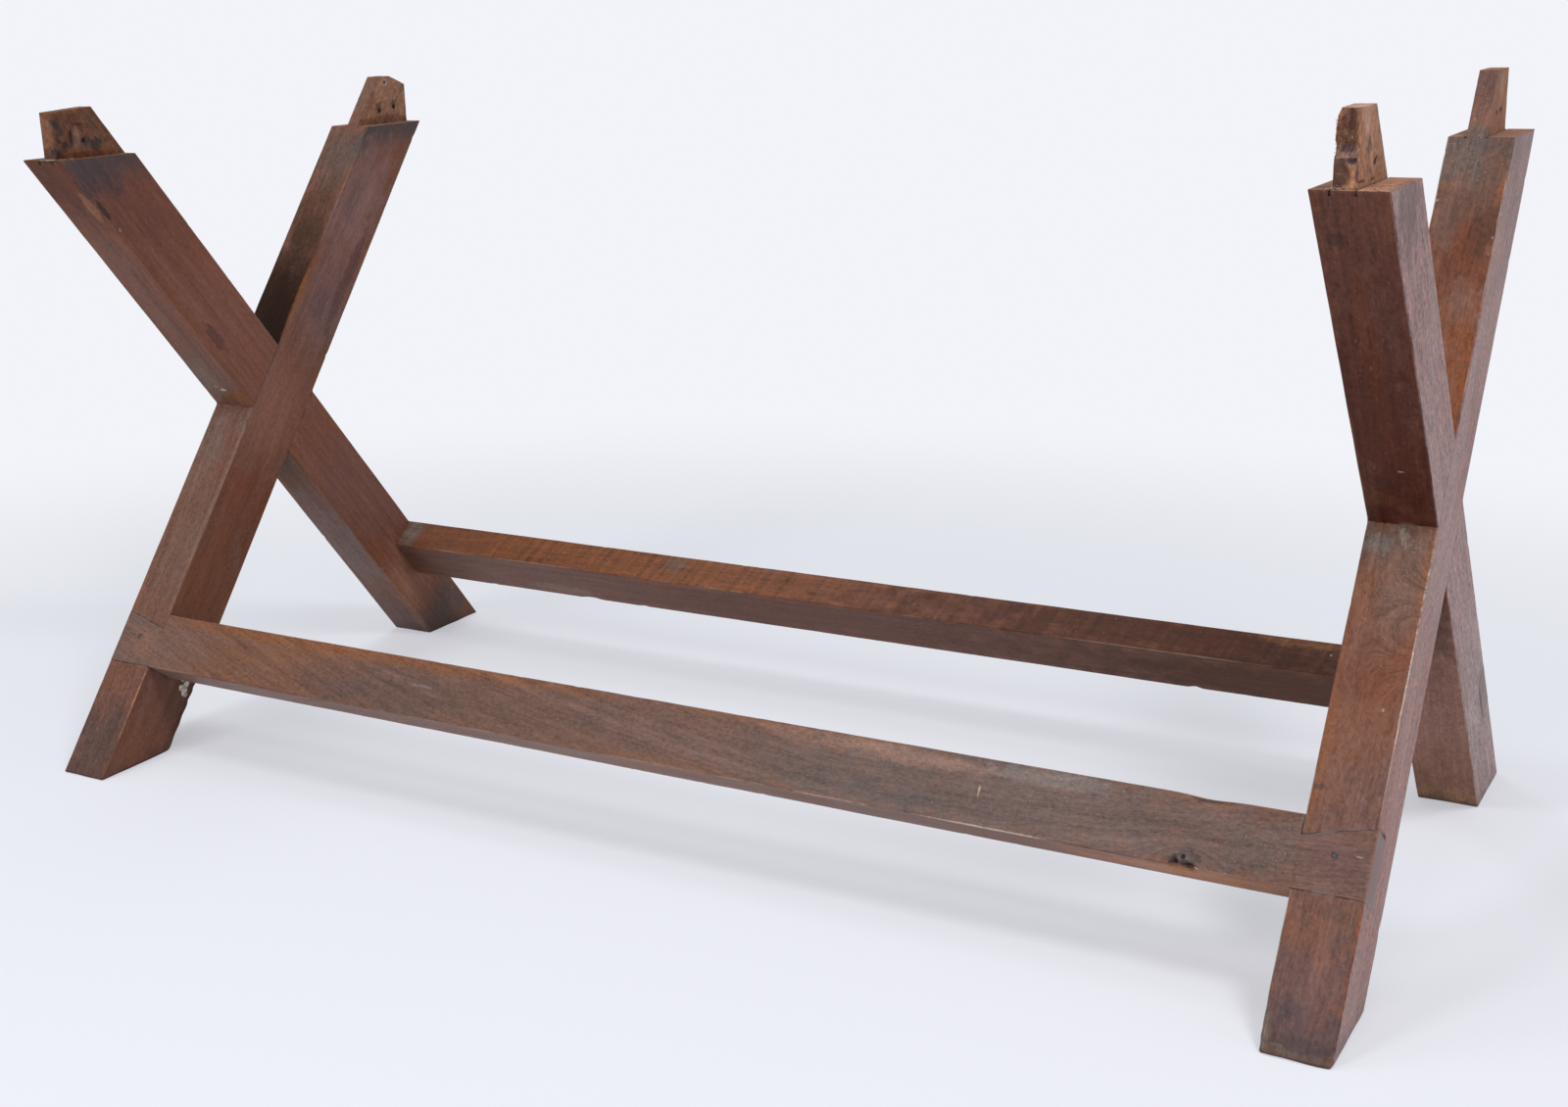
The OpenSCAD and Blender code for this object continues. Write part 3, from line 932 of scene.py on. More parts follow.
# Short fibres stand off the torn front
for _ in range(150):
    above = dice.uniform(0.0025, 0.0320)
    lost = 0.0012 + TORN_LEAN * (above / TORN_HEIGHT) ** 5
    inner, outer = TENON_IN_X + lost, TENON_OUT_X - 0.0015
    root = Vector((dice.uniform(inner, outer), TENON_FRONT_Y + 0.0016, LEDGE_Z + above))
    root.y += 0.0012 * noise.noise(root * 300)
    way = Vector((dice.uniform(-0.5, 0.4), -1.0, dice.uniform(-0.9, 1.2)))
    length = dice.uniform(0.0012, 0.0036)
    add_splinter(fibres, root, way, length, radius=0.00022, curl=Vector((0, 0, dice.uniform(-1, 1))))

# Stubs stick out in tufts along its inner edge
for height, count in ((0.0500, 5), (0.0440, 3), (0.0375, 6), (0.0300, 4), (0.0262, 7)):
    for _ in range(count):
        behind = TENON_FRONT_Y + 0.0022 + dice.uniform(-0.002, 0.004)
        root = Vector((TENON_IN_X + 0.0009, behind, SHOULDER_Z + height))
        root.z += dice.gauss(0, 0.0016)
        way = Vector((-1.0, dice.uniform(-0.5, 0.2), dice.uniform(-0.3, 1.0)))
        length = dice.uniform(0.0005, 0.0016)
        add_splinter(fibres, root, way, length, radius=0.00034, curl=Vector((0, 0, 0.8)))

# Thin hairs are left at the back of its outer cheek
for _ in range(26):
    back = TENON_BACK_Y + dice.uniform(-0.016, 0.003)
    root = Vector((TENON_OUT_X - 0.0002, back, SHOULDER_Z + dice.uniform(0.0008, 0.030)))
    root.y -= 0.35 * (root.z - SHOULDER_Z)
    way = Vector((dice.uniform(0.2, 1.0), dice.uniform(0.2, 1.0), dice.uniform(-0.2, 0.6)))
    length = dice.uniform(0.002, 0.006)
    add_splinter(fibres, root, way, length, radius=0.00013, curl=Vector((0.3, 0.6, dice.uniform(-1, 1))))
loose_piece("tenon_fibres", fibres, torn_wood)

torn_curls = mixed_matter("torn_curls", (0.120, 0.050, 0.028), (0.400, 0.230, 0.140), 0.0020, 0.85)
curls = bmesh.new()
for _ in range(34):
    across, above = dice.gauss(0.6965, 0.0034), dice.gauss(0.0405, 0.0034)
    root = Vector((across, TENON_FRONT_Y + 0.0005, SHOULDER_Z + above))
    way = Vector((dice.uniform(-1, 1), -0.35, dice.uniform(-1, 1)))
    length = dice.uniform(0.002, 0.0042)
    add_splinter(curls, root, way, length, radius=0.00028, curl=Vector((dice.uniform(-2, 2), 0.5, 1.2)))
loose_piece("tenon_curls", curls, torn_curls)

pale_wood = mixed_matter("pale_shavings", (0.130, 0.060, 0.036), (0.520, 0.390, 0.300), 0.0030, 0.8)
shavings = bmesh.new()
for _ in range(70):
    across = dice.uniform(TENON_IN_X - 0.001, TENON_OUT_X + 0.0005)
    root = Vector((across, TENON_FRONT_Y - 0.0005 - abs(dice.gauss(0, 0.0022)), ON_SHOULDER_Z))
    way = Vector((dice.uniform(-1, 1), dice.uniform(-0.8, 0.2), dice.uniform(0.1, 0.9)))
    length = dice.uniform(0.002, 0.0055)
    add_splinter(shavings, root, way, length, radius=0.00030, curl=Vector((dice.uniform(-2, 2), 0, -1.2)))
for _ in range(24):
    spot = Vector((dice.uniform(0.674, 0.728), dice.uniform(-0.305, -0.215), ON_SHOULDER_Z))
    if spot.x < TENON_OUT_X + 0.0005:
        spot.y = TENON_FRONT_Y - 0.0018 - dice.uniform(0, 0.006)
    add_crumb(shavings, spot, dice.uniform(0.0004, 0.0011), dice)
loose_piece("tenon_shavings", shavings, pale_wood)

# ---- Left front leg ----
# The inner leg of the left frame, with its foot at the front and its half-lap cut as on the right. A dark
# stain covers its upper face above the crossing, and plaster has splashed on its foot.

left_front = Timber("left_front_leg", 1, -1)
left_front_leg = leg_piece(
    left_front, foot_radius=0.0030, saw_depth=0.00035,
    dents=(((-687, 243, 717), 2.6, 2.6), ((-687, 272, 720.5), 2.6, 2.4), ((-687, 257, 752), 1.5, 0.5)),
    scars=(
        ((-31, 84, 148), (3, 3, 4), 2.0), ((-31, 84, 132), (4, 4, 5), 2.2), ((-31, 84, 112), (3, 3, 6), 1.4),
        ((-31, 84, 86), (4, 4, 8), 1.2), ((-31, 84, 64), (3, 3, 5), 1.3),
    ),
)
left_front_leg.data.materials.append(wood_material(
    "left_front_wood", left_front, 27.7,
    clean=(0.168, 0.063, 0.036), dull=(0.148, 0.082, 0.067), bare=(0.280, 0.142, 0.090),
    film=0.70, glow=0.12, gloss=0.07, arris=0.12, tight=0.80, soot=0.9, pith=(0.14, 0.10),
    marks=(
        # Upper face, with the dark stain above the crossing
        ((0, 0, 740), (60, 2, 90), (0.082, 0.036, 0.020), 0.85),
        ((0, 0, 641), (90, 2, 83), (0.018, 0.006, 0.002), 0.97, 0.6),
        ((0, 0, 590), (90, 2, 80), (0.016, 0.004, 0.000), 0.97, 0.6),
        ((-31, 0, 640), (5, 2, 60), ORANGE_RUB, 0.60),
        ((2, 0, 728), (26, 2, 44), (0.040, 0.019, 0.010), 0.60),
        ((0, 0, 850), (44, 2, 50), (0.094, 0.066, 0.052), 0.80),
        ((28, 0, 802), (3, 2, 6), (0.170, 0.040, 0.024), 0.8),
        # Top of the leg
        ((-31, 5, 868), (2, 11, 34), (0.078, 0.064, 0.062), 0.75),
        ((-27, 0, 858), (9, 2, 30), (0.082, 0.066, 0.058), 0.65),
        ((0, 0, 950), (60, 2, 56), (0.160, 0.094, 0.064), 0.85),
        # Inner face, from the top down to the foot
        ((-31, 34, 800), (2, 50, 110), (0.215, 0.120, 0.107), 0.80),
        ((-31, 24, 802), (2, 15, 36), (0.105, 0.060, 0.064), 0.40),
        ((-31, 50, 660), (2, 50, 70), (0.180, 0.105, 0.099), 0.68),
        ((-31, 66, 700), (2, 9, 90), (0.080, 0.040, 0.040), 0.55),
        ((-31, 40, 655), (2, 16, 40), (0.085, 0.044, 0.046), 0.5),
        ((-31, 30, 500), (2, 60, 70), (0.235, 0.100, 0.068), 0.75),
        ((-31, 50, 370), (2, 80, 70), (0.160, 0.045, 0.020), 0.60),
        ((-31, 50, 240), (2, 80, 110), (0.168, 0.063, 0.032), 0.85),
        ((-31, 50, 60), (2, 90, 60), (0.180, 0.073, 0.044), 0.75),
        ((-31, 6, 560), (2, 8, 120), (0.210, 0.105, 0.072), 0.40),
        # Upper face below the crossing
        ((8, 0, 430), (34, 2, 60), (0.165, 0.116, 0.096), 0.50),
        ((-26, 0, 470), (9, 2, 20), (0.110, 0.090, 0.075), 0.50),
        ((-29, 0, 330), (5, 2, 150), (0.230, 0.130, 0.090), 0.60),
        ((0, 0, 300), (60, 2, 150), (0.155, 0.092, 0.068), 0.50),
        ((-31, 0, 90), (1.5, 1.5, 50), (0.420, 0.220, 0.150), 0.60),
        ((0, 0, 170), (60, 2, 30), (0.200, 0.078, 0.042), 0.5),
        ((3, 0, 40), (60, 2, 60), (0.095, 0.057, 0.048), 0.8),
        # Rear arris near the foot
        ((-31, 84, 90), (2, 12, 90), (0.075, 0.035, 0.026), 0.6),
    ),
    bare_marks=(
        # Two nail holes, painted black for the shade in them, and a ringed mark above them
        ((-687, 243, 717), (9, 4.2, 3.8), GUM_AND_SHADE_BLACK, 0.97, 0.6),
        ((-687, 242, 721), (9, 7, 6), (0.060, 0.034, 0.026), 0.60),
        ((-687, 272, 720.5), (9, 3.8, 3.8), GUM_AND_SHADE_BLACK, 0.97, 0.6),
        ((-687, 272, 725), (9, 5, 5), (0.070, 0.040, 0.030), 0.55),
        ((-687, 257, 752.3), (9, 6, 4.8), (0.370, 0.250, 0.200), 0.75, 0.4),
        ((-687, 257, 752.3), (9, 4, 3.2), (0.190, 0.092, 0.060), 0.90, 0.4),
        ((-687, 257, 752.3), (9, 2, 1.7), (0.060, 0.030, 0.022), 0.95, 0.4),
        # Root and front of the cheek
        ((-687, 250, 704), (9, 60, 7), (0.120, 0.048, 0.030), 0.60),
        ((-687, 228, 738), (9, 10, 26), (0.200, 0.084, 0.050), 0.50),
    ),
    dusty=(((5, 0, 440), (30, 3, 60)), ((0, 0, 300), (34, 3, 120)), ((0, 0, 160), (30, 3, 30))),
))

# Each lump's place into and up the leg, and its half width and half height, in mm
PLASTER_LUMPS = ((66, 139, 7.0, 4.4), (68, 146, 4.0, 5.0), (71, 134, 5.0, 3.4), (60, 149, 3.4, 2.6))

plaster = mixed_matter("plaster", (0.420, 0.345, 0.275), (0.700, 0.640, 0.560), 0.0045, 0.9)
splash = bmesh.new()
for depth, up, width, height in PLASTER_LUMPS:
    lump = bmesh.ops.create_icosphere(splash, subdivisions=3, radius=1.0)["verts"]
    centre = left_front.toe + left_front.inward * depth * MM + left_front.upward * up * MM
    for corner in lump:
        ragged = 1.0 + 0.45 * noise.noise(corner.co * 2.6 + centre * 90)
        proud = (0.00022 + 0.0017 * max(0.0, corner.co.x)) * (1.0 + 0.7 * noise.noise(corner.co * 4.0))
        flat = left_front.inward * corner.co.y * width * MM * ragged
        flat = flat + left_front.upward * corner.co.z * height * MM * ragged
        off_face = proud if corner.co.x > 0 else -0.0006
        corner.co = centre + flat + Vector((off_face - INNER_FACE_X, 0, 0))
loose_piece("plaster_splash", splash, plaster)

# ---- Left rear leg ----
# The outer leg of the left frame, with its tenon at the front. The tenon and the top of the leg are dark with
# age, nails have left ragged holes in the tenon's inner cheek, and grey crumbs lie on the shoulder.

left_rear = Timber("left_rear_leg", -1, -1)
left_rear_leg = leg_piece(
    left_rear, foot_radius=0.0026, saw_depth=0.00032,
    dents=(
        ((-687, -254, 718), 3.0, 3.0), ((-687, -239, 712), 5.0, 1.6), ((-687, -294, 738), 4.0, 1.2),
        ((-687, -287, 718), 3.0, 1.0), ((-687, -299, 707), 4.0, 1.2), ((-687, -272, 722), 2.2, 0.8),
        ((-687, -265, 722), 5.0, -0.7),
    ),
)
left_rear_leg.data.materials.append(wood_material(
    "left_rear_wood", left_rear, 39.2,
    clean=(0.175, 0.061, 0.034), dull=(0.162, 0.082, 0.065), bare=(0.140, 0.062, 0.037),
    film=0.50, gloss=0.10, arris=0.16, tight=0.80, soot=0.4, pith=(-0.10, -0.12),
    marks=(
        # Inner face, then the leaning front face
        ((-31, 42, 860), (2, 90, 120), (0.130, 0.051, 0.036), 0.75),
        ((-31, 42, 640), (2, 90, 120), (0.190, 0.076, 0.052), 0.65),
        ((0, 84, 700), (80, 2, 900), (0.158, 0.056, 0.030), 0.92),
        ((0, 84, 590), (80, 2, 90), (0.172, 0.088, 0.062), 0.60),
        # Front face above the crossing
        ((0, 84, 930), (80, 2, 80), (0.092, 0.022, 0.008), 0.85),
        ((-20, 84, 886), (9, 2, 24), (0.270, 0.120, 0.056), 0.55),
        ((6, 84, 760), (30, 2, 110), (0.190, 0.100, 0.070), 0.50),
        ((20, 84, 610), (26, 2, 34), (0.190, 0.130, 0.100), 0.5),
        # Pale bits and a rubbed spot at the crossing
        ((-1, 84, 579), (5, 2, 2.4), (0.6, 0.56, 0.5), 0.85, 1.6),
        ((8, 84, 584), (6, 2, 2.0), (0.4, 0.34, 0.3), 0.35, 2.4),
        ((-16, 84, 569), (24, 2, 14), (0.215, 0.086, 0.026), 0.85),
        # Sooty top of the inner face
        ((-31, 16, 912), (2, 30, 44), (0.078, 0.048, 0.044), 0.65),
        ((-31, 52, 930), (2, 64, 52), (0.066, 0.042, 0.045), 0.88),
        # Spots on the inner face, and its lower part
        ((-31, 82, 250), (2, 26, 60), (0.175, 0.062, 0.022), 0.60),
        ((-31, 81, 879), (2, 5, 15), (0.030, 0.016, 0.013), 0.8, 2.2),
        ((-31, 79, 848), (2, 2, 3), PALE_DUST, 0.4),
        ((-31, 66, 656), (2, 7, 28), (0.060, 0.026, 0.022), 0.6),
        ((-31, 40, 330), (2, 60, 110), (0.165, 0.075, 0.058), 0.7),
        ((-31, 42, 160), (2, 90, 70), (0.268, 0.121, 0.075), 0.78),
        ((-31, 42, 62), (2, 90, 46), (0.088, 0.065, 0.056), 0.80),
        # Front face below the crossing
        ((-5, 84, 440), (60, 2, 70), (0.122, 0.060, 0.028), 0.8),
        ((0, 84, 270), (60, 2, 130), (0.188, 0.120, 0.102), 0.9),
        ((-6, 84, 90), (60, 2, 60), (0.140, 0.088, 0.074), 0.8),
    ),
    bare_marks=(
        # Front edge
        ((-697, -298, 732), (9, 6, 34), (0.205, 0.086, 0.050), 0.80, 0.6),
        ((-697, -298, 706), (9, 7, 9), (0.105, 0.048, 0.032), 0.75, 1.0),
        # Nail holes and the stains round them, with the shade in the deepest hole painted near-black
        ((-687, -292, 738), (9, 5.5, 7), (0.040, 0.032, 0.034), 0.75, 1.5),
        ((-687, -289, 729), (9, 5, 8), (0.044, 0.034, 0.034), 0.72, 1.5),
        ((-687, -290, 720), (9, 3.5, 4), (0.034, 0.020, 0.018), 0.75),
        ((-687, -282, 715), (9, 5, 4), (0.050, 0.032, 0.030), 0.90),
        ((-687, -294, 707), (9, 5, 6.5), (0.050, 0.034, 0.038), 0.90),
        ((-687, -272.5, 723), (9, 2.4, 12), (0.050, 0.018, 0.010), 0.90),
        ((-687, -263, 736), (9, 9, 1.8), (0.055, 0.022, 0.014), 0.80),
        ((-687, -265, 722), (9, 5.8, 13), (0.225, 0.118, 0.082), 0.85, 0.9),
        ((-687, -252.5, 718), (9, 6.5, 7.5), (0.052, 0.042, 0.038), 0.85, 0.8),
        ((-687, -254.4, 718.5), (9, 3.2, 3.4), (0.006, 0.007, 0.008), 0.98, 0.5),
        ((-687, -237, 713), (9, 10, 9.5), (0.030, 0.026, 0.026), 0.85, 1.2),
        ((-687, -240, 733), (9, 8, 7), (0.080, 0.042, 0.030), 0.60),
        # Root, back and top of the cheek
        ((-687, -250, 703), (9, 60, 3.4), (0.105, 0.028, 0.012), 0.85),
        ((-687, -222, 709), (9, 14, 7), (0.180, 0.078, 0.036), 0.50),
        ((-687, -286, 752), (9, 40, 4), (0.190, 0.078, 0.040), 0.50),
        ((-700, -270, 754), (20, 60, 1.6), (0.270, 0.200, 0.150), 0.70),
    ),
))

grey_debris = mixed_matter("shoulder_debris", (0.120, 0.110, 0.085), (0.420, 0.390, 0.330), 0.0030, 0.95)
crumbs = bmesh.new()
for _ in range(90):
    across = dice.uniform(0.0005 - TENON_OUT_X, 0.0005 - TENON_IN_X)
    spot = Vector((across, TENON_FRONT_Y - 0.0018 - abs(dice.gauss(0, 0.0035)), ON_SHOULDER_Z + 0.0001))
    add_crumb(crumbs, spot, dice.uniform(0.0005, 0.0015), dice)
for _ in range(40):
    beside = 0.0008 - TENON_IN_X + abs(dice.gauss(0, 0.0018))
    spot = Vector((beside, dice.uniform(-0.300, -0.275), ON_SHOULDER_Z))
    add_crumb(crumbs, spot, dice.uniform(0.0003, 0.0009), dice)
loose_piece("shoulder_crumbs", crumbs, grey_debris)

# ---- Front rail ----
# Stretcher from frame to frame, let flush into the front of both front-footed legs. Its grain runs out at the
# left, and a knot has rotted out of its lower arris near the right end.

ALONG = Vector((1, 0, 0))
RAIL_STEP = 0.0055


def rail_piece(timber, score=None, work=None):
    """A rail in its own skin. score cuts it finer somewhere, and work shapes it there."""
    bm = bare_mesh(timber)
    cut(bm, Vector(), ALONG, even_steps(-OUTER_FACE_X, OUTER_FACE_X, RAIL_STEP, timber.node))
    cut(bm, timber.toe, timber.inward, both_sides(0, RAIL_THICK, FACE_SLICES, 2))
    cut(bm, timber.rail_edge, timber.upward, both_sides(0, RAIL_WIDTH, FACE_SLICES, 4))
    if score:
        score(timber, bm)
    place = wear(timber, bm, RAIL_WIDTH, RAIL_THICK)
    if work:
        work(timber, bm)
    places = np.stack([place[:, 2] - timber.rail_s, place[:, 1], place[:, 0]], axis=1)
    piece = finish_mesh(timber, bm, places)
    return piece


def rail_places(timber, bm):
    """Each corner of a rail with its place in mm: along the rail, into it, and above its lower edge."""
    places = timber.slope_place(np.array([corner.co for corner in bm.verts])) / MM
    return [(corner, x, depth, s - timber.rail_s / MM) for corner, (x, depth, s) in zip(bm.verts, places)]


KNOT_START = 0.552
KNOT_END = 0.598
KNOT_STEP = 0.0011
KNOT_DEPTH_STEP = 0.0012
KNOT_MARGIN = 0.001


def by_the_knot(face):
    return KNOT_START - KNOT_MARGIN < face.calc_center_median().x < KNOT_END + KNOT_MARGIN


def score_knot(timber, bm):
    """Cuts the skin finer round the knot, so that it can carry the hollows."""
    count = int((KNOT_END - KNOT_START) / KNOT_STEP) + 1
    cut(bm, Vector(), ALONG, [KNOT_START + KNOT_STEP * i for i in range(count)])
    cut(bm, timber.rail_edge, timber.upward, [KNOT_STEP * i for i in range(1, 16)], by_the_knot)
    cut(bm, timber.toe, timber.inward, [KNOT_DEPTH_STEP * i for i in range(1, 9)], by_the_knot)


# Centre and reach above the lower edge and along the rail, then how deep or high, all in mm
KNOT_HOLLOWS = (
    ((0.5, 567.5), (6.0, 3.4), 3.8), ((0.5, 579.5), (4.6, 7.6), 3.6), ((8.5, 575), (2.2, 1.8), 1.4),
)
KNOT_LUMPS = (((7, 582), (4.0, 5.0), 0.9), ((10, 570), (3.0, 5.0), 0.4))
WANE = ((66, 589), (6.0, 20), 1.5)
DECAY_FROM = 535
DECAY_TO = 640
DECAY_DEPTH = 16
DECAY_FADE = 9.0


def off_centre(height, x, centre, reach):
    return math.hypot((height - centre[0]) / reach[0], (x - centre[1]) / reach[1])


def decayed(timber, bm):
    """Opens a rotted knot in the lower front arris and takes a strip of wane off the upper one."""
    for corner, x, depth, height in rail_places(timber, bm):
        if x < DECAY_FROM or x > DECAY_TO or depth > DECAY_DEPTH:
            continue
        fade = math.exp(-((depth / DECAY_FADE) ** 2))
        ragged = 1.0 + 0.8 * noise.noise(corner.co * 260.0)
        sunk = 0.0
        for centre, reach, deep in KNOT_HOLLOWS:
            off = off_centre(height, x, centre, reach)
            sunk += deep * fade * ragged * min(1.0, max(0.0, 1.35 - off) / 0.5)
        for centre, reach, rise in KNOT_LUMPS:
            off = off_centre(height, x, centre, reach)
            sunk -= rise * fade * math.exp(-off * off) * (1.0 + noise.noise(corner.co * 420.0))
        off = off_centre(height, x, WANE[0], WANE[1])
        lost = WANE[2] * fade * math.exp(-off * off)
        corner.co += (timber.inward * (sunk + lost) + timber.upward * (0.5 * max(0.0, sunk) - lost)) * MM


front = Timber("front_rail", 1, 0)
front_rail = rail_piece(front, score_knot, decayed)
front_rail.data.materials.append(wood_material(
    "front_rail_wood", front, 51.9,
    clean=(0.160, 0.080, 0.054), dull=(0.144, 0.090, 0.076),
    film=0.65, glow=0.2, gloss=0.14, arris=0.40, pith=(0.12, 0.16), tilt=-0.12, bend=0.18,
    knots=(((4, 0, 575), (14, 40, 26), 0.02),),
    marks=(
        # Underside
        ((0, 20, 200), (2, 80, 1400), (0.215, 0.105, 0.070), 0.85),
        # Front face and its arrises
        ((33, 0, -500), (60, 2, 160), (0.186, 0.076, 0.036), 0.62),
        ((60, 0, -350), (9, 2, 330), (0.225, 0.080, 0.028), 0.60),
        ((58, 0, 240), (9, 2, 100), (0.270, 0.150, 0.105), 0.60),
        ((33, 0, 430), (60, 2, 230), (0.142, 0.098, 0.088), 0.75),
        ((57, 0, 440), (9, 2, 70), (0.235, 0.190, 0.170), 0.55),
        ((25, 0, 250), (34, 2, 180), (0.128, 0.090, 0.078), 0.70),
        ((20, 0, -300), (40, 2, 110), (0.108, 0.062, 0.048), 0.75),
        ((30, 0, -150), (40, 2, 120), (0.130, 0.072, 0.052), 0.60),
        ((0, 0, 390), (1.5, 1.5, 75), (0.520, 0.450, 0.400), 0.85),
        ((0, 0, 230), (1.3, 1.3, 60), PALE_ARRIS, 0.60),
        ((0, 0, 620), (1.3, 1.3, 60), (0.330, 0.120, 0.060), 0.60),
        ((20, 0, -400), (22, 2, 60), (0.098, 0.062, 0.056), 0.45),
        ((36, 0, -276), (2.0, 2, 15), (0.270, 0.220, 0.200), 0.35, 3.6),
        ((54, 0, 290), (10, 2, 90), (0.300, 0.170, 0.130), 0.50),
        ((14, 0, 270), (14, 2, 110), (0.100, 0.074, 0.067), 0.45),
        # Underside, lower arris and a scratch
        ((0, 20, 300), (2, 20.5, 220), (0.155, 0.072, 0.050), 0.70),
        ((0, 0, -500), (2.2, 2, 90), (0.170, 0.040, 0.018), 0.70),
        ((34, 0, 376), (6, 2, 1.2), (0.420, 0.300, 0.190), 0.85),
        # The rotted knot, with painted shade in its three hollows
        ((2.0, 0, 555), (1.6, 4, 10), (0.220, 0.085, 0.045), 0.55),
        ((6, 0, 577), (9, 12, 12), (0.056, 0.040, 0.036), 0.80, 2.4),
        ((8, 0, 577), (5.0, 3, 7), (0.135, 0.108, 0.092), 0.70, 2.6),
        ((0.5, 1, 567.5), (6.0, 12, 3.4), GUM_AND_SHADE_BLACK, 0.97, 0.8),
        ((0, 2, 580), (3.5, 12, 7), GUM_AND_SHADE_BLACK, 0.97, 0.8),
        ((8.5, 0, 575), (2.6, 6, 2.2), GUM_AND_SHADE_BLACK, 0.95, 0.8),
        ((0.8, 0, 588), (0.8, 3, 2.4), (0.480, 0.370, 0.300), 0.75, 0.9),
        # Underside below the knot, the right end and the wane
        ((0, 20, 590), (2, 20.5, 140), (0.400, 0.150, 0.050), 0.95),
        ((33, 0, 731.6), (40, 3, 1.5), (0.320, 0.115, 0.060), 0.70),
        ((58, 0, 676), (12, 2, 9), (0.200, 0.165, 0.140), 0.55),
        ((66, 0, 589), (5, 4, 22), (0.055, 0.030, 0.024), 0.70),
        ((30, 0, 630), (30, 2, 54), (0.122, 0.082, 0.070), 0.70),
        ((32, 0, 704), (32, 2, 34), (0.134, 0.067, 0.061), 0.70),
        # Left end, and a nick at the right
        ((30, 0, -690), (24, 2, 30), (0.235, 0.110, 0.066), 0.55),
        ((36.5, 0, 721), (0.9, 2, 3.4), (0.330, 0.275, 0.220), 0.80, 0.7),
    ),
    dusty=(
        ((26, 0, 650), (34, 3, 38)), ((50, 0, 440), (20, 3, 90)),
        ((48, 0, -640), (16, 3, 40)), ((58, 0, 672), (14, 3, 14)),
    ),
))

# ---- Rear rail ----
# The matching stretcher at the back, let flush into the rear-footed legs. Its upper face has a curly figure,
# and three short chips are gone from its lower inner arris.

# Middle along the rail, half length and depth in mm
CHIPS = ((-378, 12, 1.9), (-297, 5, 1.0), (430, 7, 0.9))
CHIP_REACH = 9
CHIP_WIDTH = 3.5
CHIPS_TO = 640


def chipped(timber, bm):
    """Takes short chips off the lower inner arris."""
    for corner, x, depth, height in rail_places(timber, bm):
        edge = math.hypot(height, depth - RAIL_THICK / MM)
        if edge > CHIP_REACH or abs(x) > CHIPS_TO:
            continue
        lost = sum(deep * math.exp(-(((x - middle) / half) ** 4)) for middle, half, deep in CHIPS)
        lost = lost * math.exp(-((edge / CHIP_WIDTH) ** 2)) * MM
        corner.co += (timber.upward - timber.inward * 0.4) * lost


rear = Timber("rear_rail", -1, 0)
rear_rail = rail_piece(rear, work=chipped)
rear_rail.data.materials.append(wood_material(
    "rear_rail_wood", rear, 63.4,
    clean=(0.145, 0.050, 0.028), dull=(0.125, 0.066, 0.052),
    film=0.55, arris=0.32, curly=True, pith=(-0.10, 0.12),
    marks=(
        # Upper face; its dark right half is a painted shadow of the right frame
        ((66, 20, -400), (2, 90, 520), (0.170, 0.056, 0.018), 0.90),
        ((66, 20, 420), (2, 90, 420), (0.058, 0.018, 0.008), 0.92),
        ((66, 20, -655), (2, 40, 17), (0.170, 0.128, 0.108), 0.85),
        ((66, 13, -235), (2, 16, 22), (0.095, 0.075, 0.062), 0.5),
        ((66, 2, 545), (2, 10, 60), (0.230, 0.100, 0.045), 0.6),
        ((66, 16, 581), (2, 1.6, 1.4), PALE_DUST, 0.9, 0.7),
        # Inner face
        ((30, 41, -480), (60, 2, 220), (0.175, 0.088, 0.066), 0.7),
        ((30, 41, -600), (60, 2, 60), (0.110, 0.046, 0.030), 0.55),
        ((14, 41, -420), (9, 2, 56), (0.250, 0.160, 0.120), 0.50),
        ((44, 41, -652), (24, 2, 20), (0.085, 0.036, 0.020), 0.75),
        ((30, 41, 0), (60, 2, 300), (0.114, 0.044, 0.029), 0.75),
        ((30, 41, 520), (60, 2, 360), (0.078, 0.021, 0.006), 0.95),
    ),
))

# ---- Nails ----
# One iron nail through each end of each rail into the leg behind it. The round heads are rusted, and sunk a
# little below the wood.

iron, iron_shader = new_material("nail_iron")
rust = object_place(iron).noise(0.0016, 1.0, 4.0, 0.65, 5.0)
rust.band(0.42, 0.62).blend((0.030, 0.024, 0.021), (0.115, 0.082, 0.066)).feed(iron_shader, "Base Color")
(rust * 0.4 + 0.4).feed(iron_shader, "Roughness")
rust.relief(iron_shader, 0.6, 0.0006)
iron_shader.inputs["Metallic"].default_value = 0.35
for nail_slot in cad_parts["rail_nails"].material_slots:
    nail_slot.material = iron

# ---- Studio ----
# A wide sheet of pale paper under a soft, even sky. Four softboxes throw faint shadows to both sides of the
# table, and the paper fades into the backdrop away from it.

PAPER = (0.800, 0.815, 0.880)
BACKDROP = (0.890, 0.900, 0.945)
SKY = (0.93, 0.95, 1.0)
SKY_STRENGTH = 0.44
FLOOR_HALF = 9.0
FLOOR_NEAR = 0.42

floor_mesh = bpy.data.meshes.new("floor")
floor_corners = [(FLOOR_HALF * x, FLOOR_HALF * y, 0) for x, y in ((-1, -1), (1, -1), (1, 1), (-1, 1))]
floor_mesh.from_pydata(floor_corners, [], [(0, 1, 2, 3)])
floor = bpy.data.objects.new("floor", floor_mesh)
bpy.context.collection.objects.link(floor)


def seen_directly(tree):
    """1 for what the camera and reflections see, 0 for what lights the table."""
    path = tree.nodes.new("ShaderNodeLightPath")
    return Signal(path.outputs["Is Camera Ray"]).most(Signal(path.outputs["Is Glossy Ray"]))


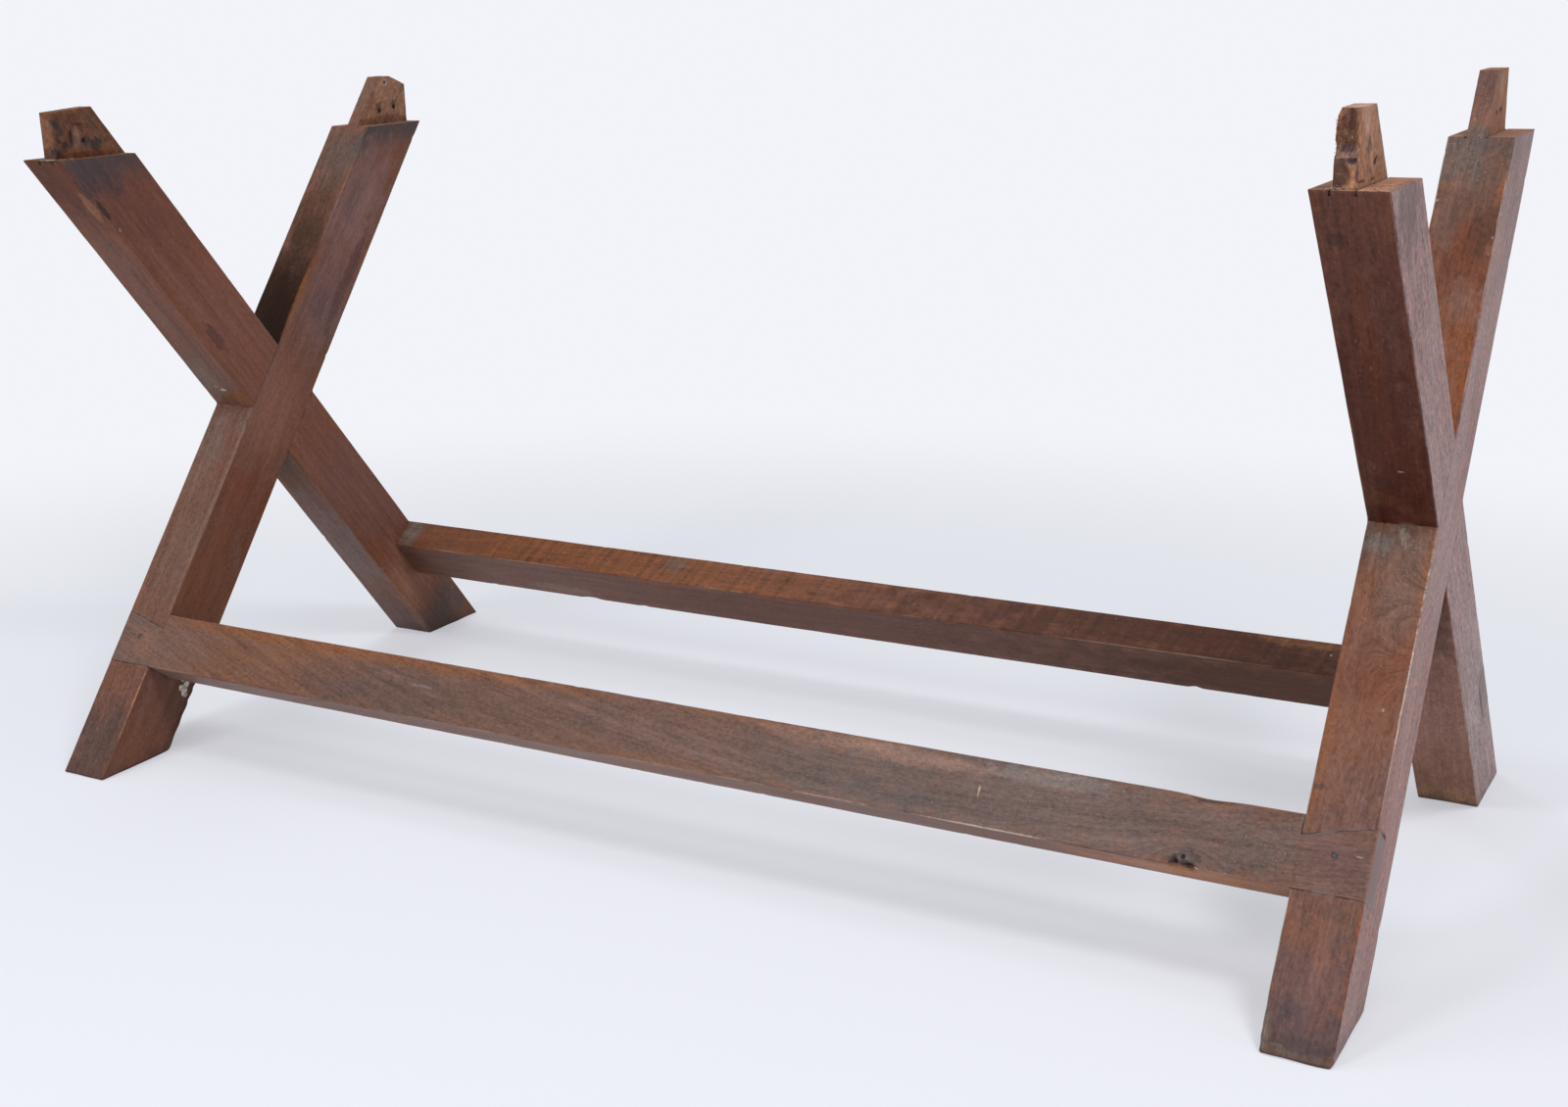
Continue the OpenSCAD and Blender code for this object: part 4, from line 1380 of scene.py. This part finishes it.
def mix_shaders(tree, amount, first, second, output):
    """Lets an amount choose between two finishes of a floor or sky."""
    mixer = tree.nodes.new("ShaderNodeMixShader")
    tree.links.new(amount.socket, mixer.inputs[0])
    tree.links.new(first, mixer.inputs[1])
    tree.links.new(second, mixer.inputs[2])
    tree.links.new(mixer.outputs[0], tree.nodes[output].inputs[0])


paper, paper_shader = new_material("floor_paper")
paper_shader.inputs["Base Color"].default_value = (*PAPER, 1)
paper_shader.inputs["Roughness"].default_value = 0.9
paper_shader.inputs["Specular IOR Level"].default_value = 0.1
paper_glow = paper.node_tree.nodes.new("ShaderNodeEmission")
paper_glow.inputs["Color"].default_value = (*BACKDROP, 1)
far = object_place(paper).scaled((0.8, 1, 0)).length().band(0.7, 1.9)
lift = (far * (1.0 - FLOOR_NEAR) + FLOOR_NEAR) * seen_directly(paper.node_tree)
mix_shaders(paper.node_tree, lift, paper_shader.outputs[0], paper_glow.outputs[0], "Material Output")
floor_mesh.materials.append(paper)

world = bpy.data.worlds.new("studio")
bpy.context.scene.world = world
world.use_nodes = True
sky = world.node_tree.nodes["Background"]
sky.inputs["Color"].default_value = (*SKY, 1)
sky.inputs["Strength"].default_value = SKY_STRENGTH
wall = world.node_tree.nodes.new("ShaderNodeBackground")
wall.inputs["Color"].default_value = (*BACKDROP, 1)
mix_shaders(world.node_tree, seen_directly(world.node_tree), sky.outputs[0], wall.outputs[0], "World Output")

LIT_POINT = Vector((0, 0, 0.3))


def softbox(name, place, size, power, colour):
    """A square lamp turned towards the table."""
    light = bpy.data.lights.new(name, "AREA")
    light.shape = "SQUARE"
    light.size = size
    light.energy = power
    light.color = colour
    holder = bpy.data.objects.new(name, light)
    holder.location = place
    holder.rotation_euler = (LIT_POINT - Vector(place)).to_track_quat("-Z", "Y").to_euler()
    bpy.context.collection.objects.link(holder)


softbox("right_softbox", (1.98, -0.91, 2.90), 0.8, 42, (1.0, 0.99, 0.98))
softbox("left_softbox", (-1.13, -2.42, 2.45), 0.8, 30, (0.98, 0.99, 1.0))
softbox("front_softbox", (0.50, -3.00, 1.90), 0.8, 12, (1.0, 1.0, 1.0))
softbox("top_softbox", (-1.40, 0.30, 3.10), 0.9, 12, (1.0, 1.0, 1.0))

CAMERA_PLACE = (1.07271, -1.83040, 0.86219)
YAW = 0.5328
PITCH = 0.2634
ROLL = -0.0317
SENSOR_MM = 36.0
LENS_MM = 46.13
SHIFT_X = 0.0237
SHIFT_Y = -0.0178

camera_data = bpy.data.cameras.new("camera")
camera_data.sensor_width = SENSOR_MM
camera_data.lens = LENS_MM
camera_data.shift_x = SHIFT_X
camera_data.shift_y = SHIFT_Y
camera = bpy.data.objects.new("camera", camera_data)
level = Vector((math.cos(YAW), math.sin(YAW), 0))
rise = Vector((-math.sin(YAW) * math.sin(PITCH), math.cos(YAW) * math.sin(PITCH), math.cos(PITCH)))
ahead = Vector((-math.sin(YAW) * math.cos(PITCH), math.cos(YAW) * math.cos(PITCH), -math.sin(PITCH)))
right = math.cos(ROLL) * level + math.sin(ROLL) * rise
top = -math.sin(ROLL) * level + math.cos(ROLL) * rise
camera.matrix_world = Matrix.Translation(CAMERA_PLACE) @ Matrix((right, top, -ahead)).transposed().to_4x4()
bpy.context.collection.objects.link(camera)
bpy.context.scene.camera = camera
bpy.context.scene.view_settings.view_transform = "Standard"
